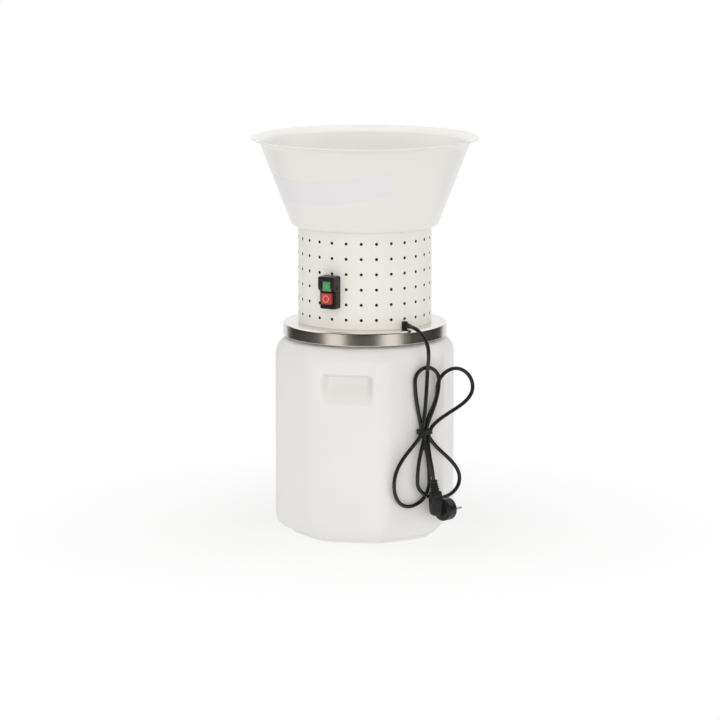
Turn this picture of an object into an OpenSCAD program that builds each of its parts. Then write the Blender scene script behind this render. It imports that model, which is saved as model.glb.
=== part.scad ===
// Electric grain mill: a hopper and a motor drum on a steel lid that stands on an eight-sided bucket.
// Millimetres, +Z up, origin under the middle of the bucket, one hand grip of the bucket towards -Y.
// Angles round the vertical axis are counted from -Y towards +X.

/* [Bucket] */
// Width of the bucket across two opposite faces
bucket_w = 290; // [270:1:310]
// Wall of the bucket
bucket_wall = 3; // [2:0.5:4]
// Height at which the upright walls end
bucket_wall_top = 311; // [300:1:322]
// Radius of the edge between the walls and the underside
base_round = 40; // [30:1:48]
// Radius of that edge at the corners
corner_base_round = 28; // [20:1:36]
// Radius of the shoulder over the walls
shoulder_round = 26; // [20:1:30]
// How far the shoulder turns inwards
shoulder_sweep = 68; // [55:1:70]
// How far the rounded corners reach past the faces
corner_gain = 9; // [4:0.5:11]
// Width of the eight-sided foot across two opposite faces
foot_w = 235; // [210:1:240]
// How far the foot's flattened corners reach past its faces
foot_gain = 5.5; // [3:0.5:7]
// Height of the foot
foot_h = 3; // [2:0.5:5]
// Outer radius of the round neck
neck_r = 127; // [124:0.5:128]
// Height of the neck over the shoulder
neck_h = 21.86; // [18:0.02:30]

/* [Hand grips] */
// Width of a hand grip
grip_w = 88; // [70:1:100]
// Height at which the grip's slope starts
grip_low = 239; // [230:1:245]
// Height at which the slope reaches full depth
grip_mid = 288; // [270:1:289]
// Height of the grip's roof
grip_high = 290.5; // [290:0.5:296]
// Depth of a hand grip
grip_deep = 15; // [12:1:22]

/* [Lid] */
// How far the lid's skirt stands outside the neck
lid_overhang = 11.3; // [8:0.1:16]
// Sheet of the lid
lid_t = 1.5; // [1:0.1:2]
// Height of the lid over all
lid_depth = 22.5; // [18:0.5:26]
// Radius of the lid's upper edge
lid_edge = 5; // [3:0.5:8]
// Radius of the rolled lower edge
lid_bead = 1.2; // [0.9:0.1:2]
// Thickness of the lid's seal
seal_t = 2; // [1:0.5:4]
// How far the seal reaches past the neck on each side
seal_lap = 3; // [1:0.5:4]
// Gap left between the seal and the neck
seal_gap = 0.1; // [0.05:0.05:0.3]

/* [Drum] */
// Outer radius of the drum
drum_r = 112.4; // [110:0.2:116]
// Sheet of the drum
drum_t = 1.2; // [0.8:0.1:2]
// Height of the drum
drum_h = 163.5; // [155:0.5:175]
// Diameter of the drum's holes
hole_d = 5; // [3:0.5:6]
// Distance between neighbouring holes
hole_pitch = 25.55; // [22:0.05:27]
// Rows of holes
hole_rows = 6; // [3:1:6]
// Distance of the upper row from the drum's top
hole_top = 18.8; // [14:0.2:24]
// Angle of the drum's seam
seam_angle = 176; // [170:1:190]
// Angle kept free of holes on each side of the seam
seam_clear = 10.6; // [8:0.2:14]
// Width of the lapped strip
seam_w = 14; // [10:1:18]
// Radius of a rivet head
rivet_r = 3; // [2:0.5:4]
// Number of rivets in the seam
rivet_count = 5; // [3:1:7]

/* [Hopper] */
// Height of the hopper over the drum
hopper_h = 146; // [130:1:160]
// Radius of the hopper's cone at the drum's top
hopper_base_r = 123; // [120:1:128]
// Radius of the cone under the lip
hopper_top_r = 175; // [165:1:182]
// Outer radius of the lip
rim_r = 192; // [188:1:200]
// Wall of the hopper
hopper_t = 2.5; // [2:0.1:4]
// Floor of the hopper
hopper_floor_t = 3; // [2:0.5:5]
// Radius of the hopper's lower edge
hopper_edge = 8; // [5:0.5:10]
// Radius of the curve into the lip
lip_round = 14; // [10:1:18]
// Slope of the lip
lip_rise = 20; // [10:1:30]
// Depth of the ring that sits in the drum
spigot_h = 10; // [6:1:14]
// Gap between that ring and the drum
spigot_gap = 0.3; // [0.2:0.05:0.5]

/* [Feed] */
// Tilt of the ramp in the hopper
ramp_tilt = 14; // [10:1:16]
// Sheet of the ramp
ramp_t = 1.5; // [1:0.1:2.5]
// Gap between the ramp and the hopper's wall
ramp_gap = 0.4; // [0.3:0.05:0.8]
// Lift of the ramp's low side over the hopper's floor
ramp_lift = 2; // [1.6:0.1:3]
// Outer radius of the chute
chute_r = 20; // [16:0.5:22]
// Wall of the chute
chute_t = 2; // [1.5:0.1:3]
// Distance of the chute from the axis
chute_y = 76; // [73:0.5:78]
// How far the chute reaches under the lid
chute_drop = 10; // [4:1:16]
// Width of the chute's flange on the lid
chute_flange = 5; // [3:0.5:6]
// Lap of the gate over the outlet
gate_lap = 6; // [3:0.5:8]
// Distance of the gate's pin from the outlet
gate_arm = 42; // [38:1:48]
// Radius of the gate's pin
gate_pin_r = 3; // [2:0.5:4]
// Radius of the gate's knob
gate_knob_r = 6; // [4:0.5:8]
// Height of the gate's knob
gate_knob_h = 16; // [10:1:24]
// Gap under and over the gate
gate_gap = 0.3; // [0.2:0.05:0.5]
// Running fit of the gate on its pin
gate_fit = 0.08; // [0.05:0.01:0.1]

/* [Tie rods] */
// Distance of the tie rods from the axis
rod_ring = 84; // [80:1:88]
// Radius of a tie rod
rod_r = 3; // [2.5:0.5:4]
// Corner radius of a nut
nut_r = 5.8; // [5.2:0.1:8]
// Height of a nut
nut_h = 5; // [4:0.5:8]

/* [Motor] */
// Outer radius of the motor's housing
housing_r = 50.5; // [50:0.5:53]
// Wall of the housing
housing_t = 4.2; // [4:0.1:4.4]
// Height of the housing
housing_h = 119.5; // [117:0.5:125]
// Floor of the housing
housing_floor = 5; // [4.5:0.1:5]
// Radius of the rotor's iron core
core_r = 25; // [22:0.5:25.2]
// Height of the iron core
core_h = 50; // [40:1:51]
// Height of the core over the lid
core_lift = 36.5; // [36:0.5:38]
// Air gap between rotor and stator
air_gap = 0.8; // [0.6:0.1:1]
// Radius of the commutator
commutator_r = 13; // [11:0.5:14]
// Radius of the shaft in the blade's hub and the lid
shaft_low_r = 7.5; // [6.5:0.5:8]
// Radius of the shaft in the motor
shaft_mid_r = 5; // [4.5:0.5:6]
// Radius of the shaft's two ends
shaft_end_r = 4; // [3:0.5:4]
// Outer radius of the lower bearing
low_bearing_r = 15; // [13:0.5:16]
// Width of the lower bearing
low_bearing_w = 9; // [7:0.5:9]
// Outer radius of the upper bearing
top_bearing_r = 11; // [9:0.5:12]
// Width of the upper bearing
top_bearing_w = 7; // [5:0.5:7]
// Running fit of the shaft in its bearings
bearing_fit = 0.05; // [0.02:0.01:0.1]
// Radius of the cooling fan
fan_r = 42; // [36:1:44]
// Number of fan blades
fan_blades = 8; // [5:1:11]

/* [Grinding chamber] */
// Outer radius of the sieve
sieve_r = 101.2; // [98:0.2:101.6]
// Sheet of the sieve
sieve_t = 1.2; // [0.8:0.1:2]
// Depth of the sieve under the lid
sieve_h = 60; // [56:1:66]
// Diameter of the sieve's holes
sieve_hole = 5; // [3:0.5:7]
// Rows of holes in the sieve
sieve_rows = 4; // [2:1:5]
// Distance of the sieve's studs from the axis
stud_ring = 106.3; // [106:0.1:106.6]
// Radius of a stud
stud_r = 2; // [1.5:0.25:2.5]
// Reach of the blade from the axis
blade_r = 86; // [70:1:90]
// Width of the blade
blade_w = 26; // [20:1:36]
// Thickness of the blade
blade_t = 4; // [3:0.5:5]
// Depth of the blade's upper face under the lid
blade_drop = 35; // [30:1:36]

/* [Switch] */
// Angle of the switch
switch_angle = -16.9; // [-30:0.1:-10]
// Height of the switch's middle over the lid
switch_lift = 63.5; // [58:0.5:75]
// Width of the switch
switch_w = 30; // [28:0.5:36]
// Height of the switch
switch_h = 55; // [52:0.5:60]
// How far the lower half stands out of the drum
switch_out = 15; // [13:0.5:17]
// How far the upper half stands out of the drum
switch_hood = 22; // [20:0.5:26]
// Side of the start button
start_w = 16.5; // [12:0.5:18]
// Travel of the start button
start_travel = 3; // [2:0.5:4]
// Side of the stop button
stop_w = 19.5; // [16:0.5:20]
// Travel of the stop button
stop_travel = 4; // [2:0.5:5]
// Gap round a button
button_gap = 0.3; // [0.2:0.05:0.5]

/* [Cord] */
// Angle of the cord's gland
gland_angle = 47; // [45:0.5:50]
// Height of the gland's middle over the lid
gland_lift = 6.6; // [6.4:0.1:7]
// How far the gland stands out of the drum
gland_out = 7; // [6:0.5:9]
// Length of the gland's tapered sleeve
sleeve_l = 12; // [10:1:20]
// Diameter of the cord
cord_d = 6.5; // [6:0.1:6.8]
// Height of the cord's tie
tie_z = 191; // [188:1:194]
// Distance of the hank's inner strands from the bucket's face
hank_gap = 5.3; // [5:0.1:7]
// Step from the inner to the outer strands
hank_step = 7.2; // [7.1:0.1:8]
// Width of the tie's band
tie_w = 8; // [5:0.5:10]
// Thickness of the tie's band
tie_t = 1.2; // [0.8:0.1:1.4]

/* [Plug] */
// Radius of the plug's disc
plug_r = 19; // [17:0.5:19.5]
// Length of the plug's disc
plug_l = 20; // [16:1:24]
// Turn of the plug towards the bucket
plug_turn = 13; // [5:1:16]
// Radius of a plug pin
pin_r = 2.4; // [2:0.1:3]
// Length of a plug pin
pin_l = 19; // [15:1:22]
// Distance between the pins
pin_pitch = 19; // [14:1:20]

/* [Hidden] */
$fn = 72;
hole_fn = 20;
// overlap of a cut past the face that it opens
through = 1;
shoulder_top = bucket_wall_top + shoulder_round * sin(shoulder_sweep);
neck_top = shoulder_top + neck_h;
lid_under = neck_top + seal_gap + seal_t;
lid_top = lid_under + lid_t;
lid_low = lid_top - lid_depth;
lid_r = neck_r + lid_overhang;
drum_top = lid_top + drum_h;
rim_top = drum_top + hopper_h;
drum_in = drum_r - drum_t;

// drum holes: steps round the drum are the same arc as the steps between rows
hole_step = hole_pitch / drum_r * 180 / PI;
hole_columns = floor((360 - 2 * seam_clear) / hole_step) + 1;
hole_start = seam_angle - 360 + seam_clear;
rivet_step = drum_h / rivet_count;
rivet_shank = rivet_r / 2;
rivet_gap = 0.1;

// hopper: slope of its wall, height where the lip starts
cone_share = 0.92;
cone_lean = atan((hopper_top_r - hopper_base_r) / (hopper_h * cone_share));
lip_h = lip_round * (cos(lip_rise) - sin(cone_lean))
    + (rim_r - hopper_top_r - lip_round * (cos(cone_lean) - sin(lip_rise))) * tan(lip_rise)
    + hopper_t * cos(lip_rise);
lip_low = rim_top - lip_h;
spigot_t = 2;

// feed
ramp_y = hopper_base_r - 5;
ramp_z = drum_top + hopper_floor_t + ramp_lift;
outlet_y = (chute_y - ramp_y) / cos(ramp_tilt);
outlet_r = chute_r - chute_t;
gate_t = 1.5;
gate_r = outlet_r + gate_lap;
gate_arm_w = 16;
gate_eye_r = 9;
gate_low = ramp_t + gate_gap;
gate_high = gate_low + gate_t;
pin_head_r = 2 * gate_pin_r;
pin_head_t = 2;
clearance = 0.3;
rod_gap = 0.2;
rod_over = 3;

// motor, heights counted from the lid's upper face
seat_gap = 0.05;
boss_wall = 4;
floor_hole_r = shaft_low_r + 1.5;
low_bearing_z = lid_top + housing_floor;
fan_z = low_bearing_z + low_bearing_w + 2;
fan_t = 2;
fan_h = 10.5;
fan_hub_r = 9;
core_z = lid_top + core_lift;
winding_h = 8;
winding_r = core_r - 3;
bore_r = core_r + air_gap;
stator_r = housing_r - housing_t - clearance;
yoke_t = 8;
pole_w = 28;
coil_w = 40;
coil_x = bore_r + 1.2;
coil_t = 4.5;
commutator_z = core_z + core_h + winding_h + 3;
commutator_h = 16;
bridge_z = lid_top + housing_h;
bridge_t = 4;
bridge_boss_h = top_bearing_w + 2;
shaft_gap = 0.1;
brush_w = 8;
brush_l = 20;
brush_z = commutator_z + 4;
holder_wall = 3;
holder_l = 26;
holder_y = commutator_r + 2;
brush_gap = 0.35;
slide_gap = 0.2;
screw_r = 2;
screw_ring = 30;
screw_head_r = 3.6;
screw_head_h = 3;
thin_screw_r = 1.3;
thin_screw_l = 10;
vent_w = 9;
vent_h = 11;
vents = 6;

// grinding chamber
blade_z = lid_under - blade_drop - blade_t;
blade_bore_r = shaft_end_r + shaft_gap;
blade_hub_r = 17;
washer_r = 10;
washer_t = 2;
blade_nut_r = 8;
blade_nut_h = 7;
tail_l = 2;
beater_w = 6;
beater_h = 10;
sieve_low = lid_under - sieve_h;
sieve_flange_r = stud_ring + stud_r + 3;
sieve_columns = 24;
sieve_row_step = sieve_h / (sieve_rows + 1.5);
wing_r = 4;
wing_h = 8;
wing_span = 22;
wing_t = 3;
stud_drop = 13;
stud_head_r = 1.9 * stud_r;
stud_head_h = 2.5;

// switch, distances counted outwards from the drum
switch_z = lid_top + switch_lift;
switch_round = 4;
switch_tail_w = 22;
switch_tail_h = 45;
switch_tail_in = 14;
hood_low = 4;
start_z = switch_z + 11;
start_sunk = 3;
start_deep = 8;
stop_z = switch_z - 9;
stop_out = 7;
stop_deep = 14;
button_rest = 0.5;

// cord
face_turn = 45;
gland_z = lid_top + gland_lift;
gland_w = 8;
gland_h = 12.5;
gland_neck_r = 4;
gland_neck_in = 6;
collar_r = 5.6;
collar_t = 2;
sleeve_root_r = 4.7;
sleeve_tip_r = 3.9;
lead_swing = -5.7;
sleeve_root = [(drum_r + gland_out) * sin(gland_angle - face_turn) + 2,
               (drum_r + gland_out) * cos(gland_angle - face_turn) - 1, gland_z - 0.5];
lead_dir = [sin(lead_swing), cos(lead_swing), 0];
hank_in = bucket_w / 2 + hank_gap;
hank_out = hank_in + hank_step;
hank_mid = (hank_in + hank_out) / 2;
cord_sides = 6;
quarter = 0.5523;
up = [0, 0, 1];
// strands in the tie: place along the face, distance from the axis, lean, reach of the bend below and above
strands = [[10.5, hank_out, 20, 24, 20], [16.5, hank_in, -12, 24, 24], [18.4, hank_out, 12, 24, 26],
           [26, hank_in, -14, 34, 26], [26.6, hank_out, 24, 20, 32]];
// loops: first side, far end and second side as place and height from the tie, their distances, the legs
loops = [[[-43, -85], [-8, -125], [31, -87], [hank_out - 2, hank_in, hank_in], [44, 46]],
         [[2, 86.5], [23.5, 108], [45, 86.5], [hank_in, hank_mid - 1, hank_out], [34, 40]],
         [[2.5, -84], [50, -115], [90, -87], [hank_out, hank_out, hank_mid], [40, 32]],
         [[46.5, 69], [80, 101], [114, 67], [hank_in, hank_in + 1.5, hank_out - 1], [30, 34]]];
// way from the gland to the hank: point, heading, reach
cord_start = sleeve_root + lead_dir * sleeve_l;
lead_bend = [[14.4, bucket_w / 2 + 25.75, lid_top - 28.6], [0.04, 0.11, -0.99], 19.65];
lead_hang = [[20, bucket_w / 2 + 15, lid_top - 70.5], [-0.06, 0.02, -1], 18.3];
lead_reach = 21.3;
plug_top = [27.5, bucket_w / 2 + 27, tie_z - 77];
plug_dir = [0.16, 0, -0.987];
plug_reach = 32;

// plug, in the frame of the bucket's face
boot_l = 28;
boot_tip_r = 4.3;
boot_root_r = 6.8;
boot_ribs = 4;
boot_groove = 1.2;
hump_w = 24;
hump_d = 18;
hump_h = 36;
hump_round = 6;
plug_mid = [plug_top[0] + 20.5, plug_top[1] + 0.5, plug_top[2] - 55];
hump_mid = [plug_top[0] + 3.5, plug_top[1], plug_top[2] - 46];
plug_rim = 2;
pin_root = 8;
pin_gap = 0.05;

// points of an arc about c
function arc(c, r, from, to, n) =
    [for (i = [0:n]) let (a = from + (to - from) * i / n) [c[0] + r * cos(a), c[1] + r * sin(a)]];
// half section of the bucket, moved inwards by inset; its corners have wider sections by gain
function bucket_side(inset, gain) =
    let (half = bucket_w / 2 + gain - inset, b = (gain > 0 ? corner_base_round : base_round) - inset,
         s = shoulder_round + gain - inset, bend_z = shoulder_top - (shoulder_round + gain) * sin(shoulder_sweep))
    concat([[0, foot_h + inset]],
           arc([half - b, foot_h + inset + b], b, -90, 0, 6),
           arc([half - s, bend_z], s, 0, shoulder_sweep, 5),
           [[0, bend_z + s * sin(shoulder_sweep)]]);
// a half section with its mirror image
function both_sides(p) = concat(p, [for (i = [len(p) - 2:-1:1]) [-p[i][0], p[i][1]]]);
// section of a hand grip: depth and height
function grip_side(grow) =
    [[-bucket_w / 4, grip_low - grow], [0, grip_low - grow], [grip_deep + grow, grip_mid],
     [grip_deep + grow, grip_high + grow], [-bucket_w / 4, grip_high + grow]];
// radius of the hopper's outer cone at a height
function cone_r(z) = hopper_base_r + (hopper_top_r - hopper_base_r) * (z - drum_top) / (lip_low - drum_top);
// point on a cubic curve
function cubic(s, t) = pow(1 - t, 3) * s[0] + 3 * pow(1 - t, 2) * t * s[1]
    + 3 * (1 - t) * t * t * s[2] + pow(t, 3) * s[3];
function unit(a) = a / norm(a);

// ring between two radii and two heights
module ring(outer, inner, low, high) {
    translate([0, 0, low]) difference() {
        cylinder(r = outer, h = high - low);
        translate([0, 0, -through]) cylinder(r = inner, h = high - low + 2 * through);
    }
}

// rod between two heights
module rod(r, low, high) {
    translate([0, 0, low]) cylinder(r = r, h = high - low);
}

// children at count places round the axis
module around(count, r, first) {
    for (k = [0:count - 1]) {
        rotate([0, 0, first + 360 * k / count]) translate([0, -r, 0]) children();
    }
}

// rectangle with rounded corners about the origin
module soft_rect(w, h, r) {
    square([w - 2 * r, h], center = true);
    square([w, h - 2 * r], center = true);
    for (x = [-1, 1], y = [-1, 1]) {
        translate([x * (w / 2 - r), y * (h / 2 - r)]) circle(r = r);
    }
}

// frame of the ramp: its underside is the plane z = 0
module on_ramp() {
    translate([0, ramp_y, ramp_z]) rotate([-ramp_tilt, 0, 0]) children();
}

// frame of the bucket's face that the hank hangs on: x along the face, -y outwards
module on_face() {
    rotate([0, 0, face_turn]) children();
}

// eight-sided body of the bucket with flattened corners
module bucket_form(inset) {
    intersection_for (k = [0:7]) {
        rotate([0, 0, 22.5 * k]) rotate([90, 0, 0]) linear_extrude(height = 2 * bucket_w, center = true)
            polygon(both_sides(bucket_side(inset, k % 2 == 0 ? 0 : corner_gain)));
    }
}

module grips(grow) {
    for (turn = [0, 180]) {
        rotate([0, 0, turn]) translate([0, -bucket_w / 2, 0]) rotate([90, 0, 90])
            linear_extrude(height = grip_w + 2 * grow, center = true) polygon(grip_side(grow));
    }
}

// eight-sided foot with flattened corners
module bucket_foot() {
    linear_extrude(height = foot_h + bucket_wall / 2) intersection_for (k = [0:7]) {
        rotate([0, 0, 22.5 * k]) square([foot_w + (k % 2 == 0 ? 0 : 2 * foot_gain), 2 * foot_w], center = true);
    }
}

module bucket() {
    color("whitesmoke") difference() {
        union() {
            bucket_form(0);
            bucket_foot();
            rod(neck_r, shoulder_top - bucket_wall / 2, neck_top);
        }
        difference() {
            bucket_form(bucket_wall);
            grips(bucket_wall);
        }
        grips(0);
        rod(neck_r - bucket_wall, shoulder_top - 2 * bucket_wall, neck_top + through);
    }
}

module lid_sheet() {
    corner = [lid_r - lid_edge, lid_top - lid_edge];
    rotate_extrude() polygon(concat([[0, lid_under], [0, lid_top]], arc(corner, lid_edge, 90, 0, 6),
        [[lid_r, lid_low + lid_bead], [lid_r - lid_t, lid_low + lid_bead]],
        arc(corner, lid_edge - lid_t, 0, 90, 6)));
    rotate_extrude() translate([lid_r - lid_t / 2, lid_low + lid_bead]) circle(r = lid_bead, $fn = hole_fn);
}

module lid() {
    color("silver") difference() {
        lid_sheet();
        rod(floor_hole_r, lid_low, lid_top + through);
        translate([0, chute_y, 0]) rod(chute_r + clearance, lid_low, lid_top + through);
        around(4, rod_ring, 45) rod(rod_r + rod_gap, lid_low, lid_top + through);
        around(4, screw_ring, 45) rod(screw_r + rod_gap, lid_low, lid_top + through);
        around(3, stud_ring, 0) rod(stud_r + rod_gap, lid_low, lid_top + through);
    }
}

module lid_seal() {
    color("dimgray") ring(neck_r + seal_lap, neck_r - bucket_wall - seal_lap, neck_top + seal_gap, lid_under);
}

// the drum's holes, left out where the switch covers them
module drum_holes() {
    for (k = [0:hole_columns - 1], row = [0:hole_rows - 1]) {
        turn = hole_start + k * hole_step;
        z = drum_top - hole_top - row * hole_pitch;
        if (abs(turn - switch_angle) * PI / 180 * drum_r > switch_w / 2 || abs(z - switch_z) > switch_h / 2) {
            rotate([0, 0, turn]) translate([0, -drum_in, z]) rotate([90, 0, 0])
                cylinder(d = hole_d, h = 4 * drum_t, center = true, $fn = hole_fn);
        }
    }
}

// children at the places of the seam's rivets, z outwards
module at_rivets() {
    for (k = [0:rivet_count - 1]) {
        rotate([0, 0, seam_angle]) translate([0, -drum_r - drum_t, lid_top + (k + 0.5) * rivet_step])
            rotate([90, 0, 0]) children();
    }
}

module drum() {
    strip = seam_w / drum_r * 180 / PI;
    color("white") difference() {
        union() {
            ring(drum_r, drum_in, lid_top, drum_top);
            rotate([0, 0, seam_angle - 90 - strip / 2]) rotate_extrude(angle = strip)
                translate([drum_r - drum_t / 2, lid_top]) square([1.5 * drum_t, drum_h - hole_d]);
        }
        drum_holes();
        at_rivets() cylinder(r = rivet_shank + rivet_gap, h = 8 * drum_t, center = true, $fn = hole_fn);
        rotate([0, 0, switch_angle]) translate([0, -drum_r, switch_z])
            cube([switch_tail_w + 2 * clearance, 12 * drum_t, switch_tail_h + 2 * clearance], center = true);
        rotate([0, 0, gland_angle]) translate([0, -drum_r, gland_z]) rotate([90, 0, 0])
            cylinder(r = gland_neck_r + clearance, h = 8 * drum_t, center = true, $fn = hole_fn);
    }
}

module seam_rivets() {
    color("silver") at_rivets() {
        translate([0, 0, rivet_gap]) cylinder(r = rivet_r, h = drum_t, $fn = hole_fn);
        translate([0, 0, -3 * drum_t]) cylinder(r = rivet_shank, h = 3 * drum_t + rivet_r / 4, $fn = hole_fn);
    }
}

module hopper_shell() {
    lean = atan((hopper_top_r - hopper_base_r) / (lip_low - drum_top));
    foot = [hopper_base_r + hopper_edge * tan(lean) - hopper_edge / cos(lean), drum_top + hopper_edge];
    turn = [hopper_top_r + lip_round * cos(lean), lip_low - lip_round * sin(lean)];
    edge_z = turn[1] + lip_round * cos(lip_rise) + (rim_r - turn[0] + lip_round * sin(lip_rise)) * tan(lip_rise);
    inside = hopper_t / cos(lean);
    floor_z = drum_top + hopper_floor_t;
    rotate_extrude() polygon(concat([[0, drum_top]],
        arc(foot, hopper_edge, -90, -lean, 5),
        arc(turn, lip_round, 180 - lean, 90 + lip_rise, 5),
        [[rim_r, edge_z], [rim_r - hopper_t * sin(lip_rise), edge_z + hopper_t * cos(lip_rise)]],
        arc(turn, lip_round + hopper_t, 90 + lip_rise, 180 - lean, 5),
        [[cone_r(floor_z) - inside, floor_z], [0, floor_z]]));
}

module hopper() {
    spigot_r = drum_in - spigot_gap;
    color("whitesmoke") difference() {
        union() {
            hopper_shell();
            ring(spigot_r, spigot_r - spigot_t, drum_top - spigot_h, drum_top + hopper_floor_t / 2);
        }
        translate([0, chute_y, 0]) rod(chute_r + clearance, drum_top - spigot_h, rim_top);
        around(4, rod_ring, 45) rod(rod_r + rod_gap, drum_top - spigot_h, rim_top);
    }
}

// inside of the hopper's cone, moved inwards by gap
module hopper_room(gap) {
    low = drum_top + hopper_floor_t + gap;
    inset = hopper_t / cos(cone_lean) + gap;
    rotate_extrude() polygon([[0, low], [cone_r(low) - inset, low], [cone_r(lip_low) - inset, lip_low], [0, lip_low]]);
}

module feed_ramp() {
    color("silver") difference() {
        intersection() {
            hopper_room(ramp_gap);
            on_ramp() translate([-rim_r, -2 * rim_r, 0]) cube([2 * rim_r, 3 * rim_r, ramp_t]);
        }
        translate([0, chute_y, 0]) rod(outlet_r, drum_top, rim_top);
        on_ramp() translate([gate_arm, outlet_y, 0]) rod(gate_pin_r + gate_fit, -through, ramp_t + through);
    }
}

module feed_chute() {
    color("silver") difference() {
        translate([0, chute_y, 0]) {
            ring(chute_r, outlet_r, lid_under - chute_drop, ramp_z + rim_r / 4);
            ring(chute_r + chute_flange, outlet_r, lid_top, lid_top + chute_t);
        }
        on_ramp() translate([-rim_r, -rim_r, -clearance]) cube([2 * rim_r, 2 * rim_r, rim_r]);
    }
}

module feed_gate() {
    color("firebrick") on_ramp() translate([0, outlet_y, 0]) difference() {
        union() {
            rod(gate_r, gate_low, gate_high);
            translate([0, -gate_arm_w / 2, gate_low]) cube([gate_arm, gate_arm_w, gate_t]);
            translate([gate_arm, 0, 0]) rod(gate_eye_r, gate_low, gate_high);
            rod(gate_knob_r, gate_low, gate_high + gate_knob_h);
        }
        translate([gate_arm, 0, 0]) rod(gate_pin_r + gate_fit, 0, gate_high + through);
    }
}

module gate_pin() {
    color("silver") on_ramp() translate([gate_arm, outlet_y, 0]) {
        rod(gate_pin_r, -pin_head_t, gate_high + gate_gap + pin_head_t);
        rod(pin_head_r, gate_high + gate_gap, gate_high + gate_gap + pin_head_t);
        rod(pin_head_r, -pin_head_t, 0);
    }
}

module tie_rods() {
    color("silver") around(4, rod_ring, 45)
        rod(rod_r, lid_under - nut_h - rod_over, drum_top + hopper_floor_t + nut_h + rod_over);
}

// nut about the axis with a bore for a rod
module nut(corner, bore, low, high) {
    difference() {
        translate([0, 0, low]) cylinder(r = corner, h = high - low, $fn = 6);
        rod(bore, low - through, high + through);
    }
}

module rod_nuts() {
    color("gray") around(4, rod_ring, 45) {
        nut(nut_r, rod_r + shaft_gap, lid_under - nut_h, lid_under);
        nut(nut_r, rod_r + shaft_gap, drum_top + hopper_floor_t, drum_top + hopper_floor_t + nut_h);
    }
}

// openings in the housing's wall at a height
module housing_vents(z, first) {
    around(vents, housing_r, first) translate([0, 0, z + vent_h / 2])
        cube([vent_w, 4 * housing_t, vent_h], center = true);
}

module motor_housing() {
    seat_top = low_bearing_z + low_bearing_w;
    color("slategray") difference() {
        union() {
            ring(housing_r, housing_r - housing_t, lid_top, bridge_z);
            rod(housing_r - housing_t / 2, lid_top, lid_top + housing_floor);
            rod(low_bearing_r + boss_wall, lid_top, seat_top);
        }
        rod(floor_hole_r, lid_top - through, seat_top);
        rod(low_bearing_r + seat_gap, low_bearing_z, seat_top + through);
        around(4, screw_ring, 45) rod(screw_r + shaft_gap, lid_top - through, low_bearing_z - through);
        around(3, housing_r - housing_t / 2, 60)
            rod(thin_screw_r + seat_gap, bridge_z - thin_screw_l, bridge_z + through);
        housing_vents(fan_z, 30);
        housing_vents(commutator_z, 0);
    }
}

module stator_core() {
    color("dimgray") difference() {
        union() {
            ring(stator_r, stator_r - yoke_t, core_z, core_z + core_h);
            translate([0, 0, core_z + core_h / 2])
                cube([2 * (stator_r - yoke_t / 2), pole_w, core_h], center = true);
        }
        rod(bore_r, core_z - through, core_z + core_h + through);
    }
}

module field_coils() {
    color("peru") for (side = [0, 180]) {
        rotate([0, 0, side]) translate([coil_x + coil_t / 2, 0, core_z + core_h / 2]) difference() {
            cube([coil_t, coil_w, core_h + 2 * winding_h], center = true);
            cube([2 * coil_t, pole_w + 2 * clearance, core_h + 2 * clearance], center = true);
        }
    }
}

module bearing_bridge() {
    color("slategray") difference() {
        union() {
            rod(housing_r, bridge_z, bridge_z + bridge_t);
            rod(top_bearing_r + boss_wall, bridge_z, bridge_z + bridge_boss_h);
        }
        rod(top_bearing_r + seat_gap, bridge_z - through, bridge_z + top_bearing_w);
        rod(shaft_end_r + 2, bridge_z, bridge_z + bridge_boss_h + through);
        around(3, housing_r - housing_t / 2, 60)
            rod(thin_screw_r + seat_gap, bridge_z - through, bridge_z + bridge_t + through);
    }
}

module bridge_screws() {
    head = bridge_z + bridge_t;
    color("silver") around(3, housing_r - housing_t / 2, 60) {
        rod(thin_screw_r, head - thin_screw_l, head + thin_screw_r);
        rod(2 * thin_screw_r, head, head + 1.5 * thin_screw_r);
    }
}

module lower_bearing() {
    color("lightgray") ring(low_bearing_r, shaft_mid_r + bearing_fit, low_bearing_z, low_bearing_z + low_bearing_w);
}

module upper_bearing() {
    color("lightgray") ring(top_bearing_r, shaft_end_r + bearing_fit, bridge_z, bridge_z + top_bearing_w);
}

module brush_holders() {
    high = bridge_z - brush_z + holder_wall;
    color("black") for (side = [0, 180]) {
        rotate([0, 0, side]) difference() {
            translate([-brush_w / 2 - holder_wall, -holder_y - holder_l, brush_z - holder_wall])
                cube([brush_w + 2 * holder_wall, holder_l, high]);
            translate([-brush_w / 2 - slide_gap, -holder_y - holder_l + holder_wall, brush_z - slide_gap])
                cube([brush_w + 2 * slide_gap, holder_l, brush_w + 2 * slide_gap]);
        }
    }
}

module brushes() {
    color("darkslategray") for (side = [0, 180]) {
        rotate([0, 0, side]) translate([-brush_w / 2, -commutator_r - brush_gap - brush_l, brush_z])
            cube([brush_w, brush_l, brush_w]);
    }
}

module motor_screws() {
    color("silver") around(4, screw_ring, 45) {
        rod(screw_r, lid_under - screw_head_h / 2, low_bearing_z - 1.5 * through);
        rod(screw_head_r, lid_under - screw_head_h, lid_under);
    }
}

module motor_shaft() {
    shoulder = low_bearing_z - clearance;
    neck = bridge_z - 4;
    color("silver") {
        rod(shaft_end_r, blade_z - washer_t - blade_nut_h - tail_l, blade_z + blade_t + through);
        rod(shaft_low_r, blade_z + blade_t, shoulder);
        rod(shaft_mid_r, shoulder - through, neck);
        rod(shaft_end_r, neck - through, bridge_z + bridge_boss_h);
    }
}

module armature_core() {
    color("dimgray") ring(core_r, shaft_mid_r + shaft_gap, core_z, core_z + core_h);
}

module armature_windings() {
    color("peru") {
        ring(winding_r, shaft_mid_r + shaft_gap, core_z - winding_h, core_z);
        ring(winding_r, shaft_mid_r + shaft_gap, core_z + core_h, core_z + core_h + winding_h);
    }
}

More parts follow.
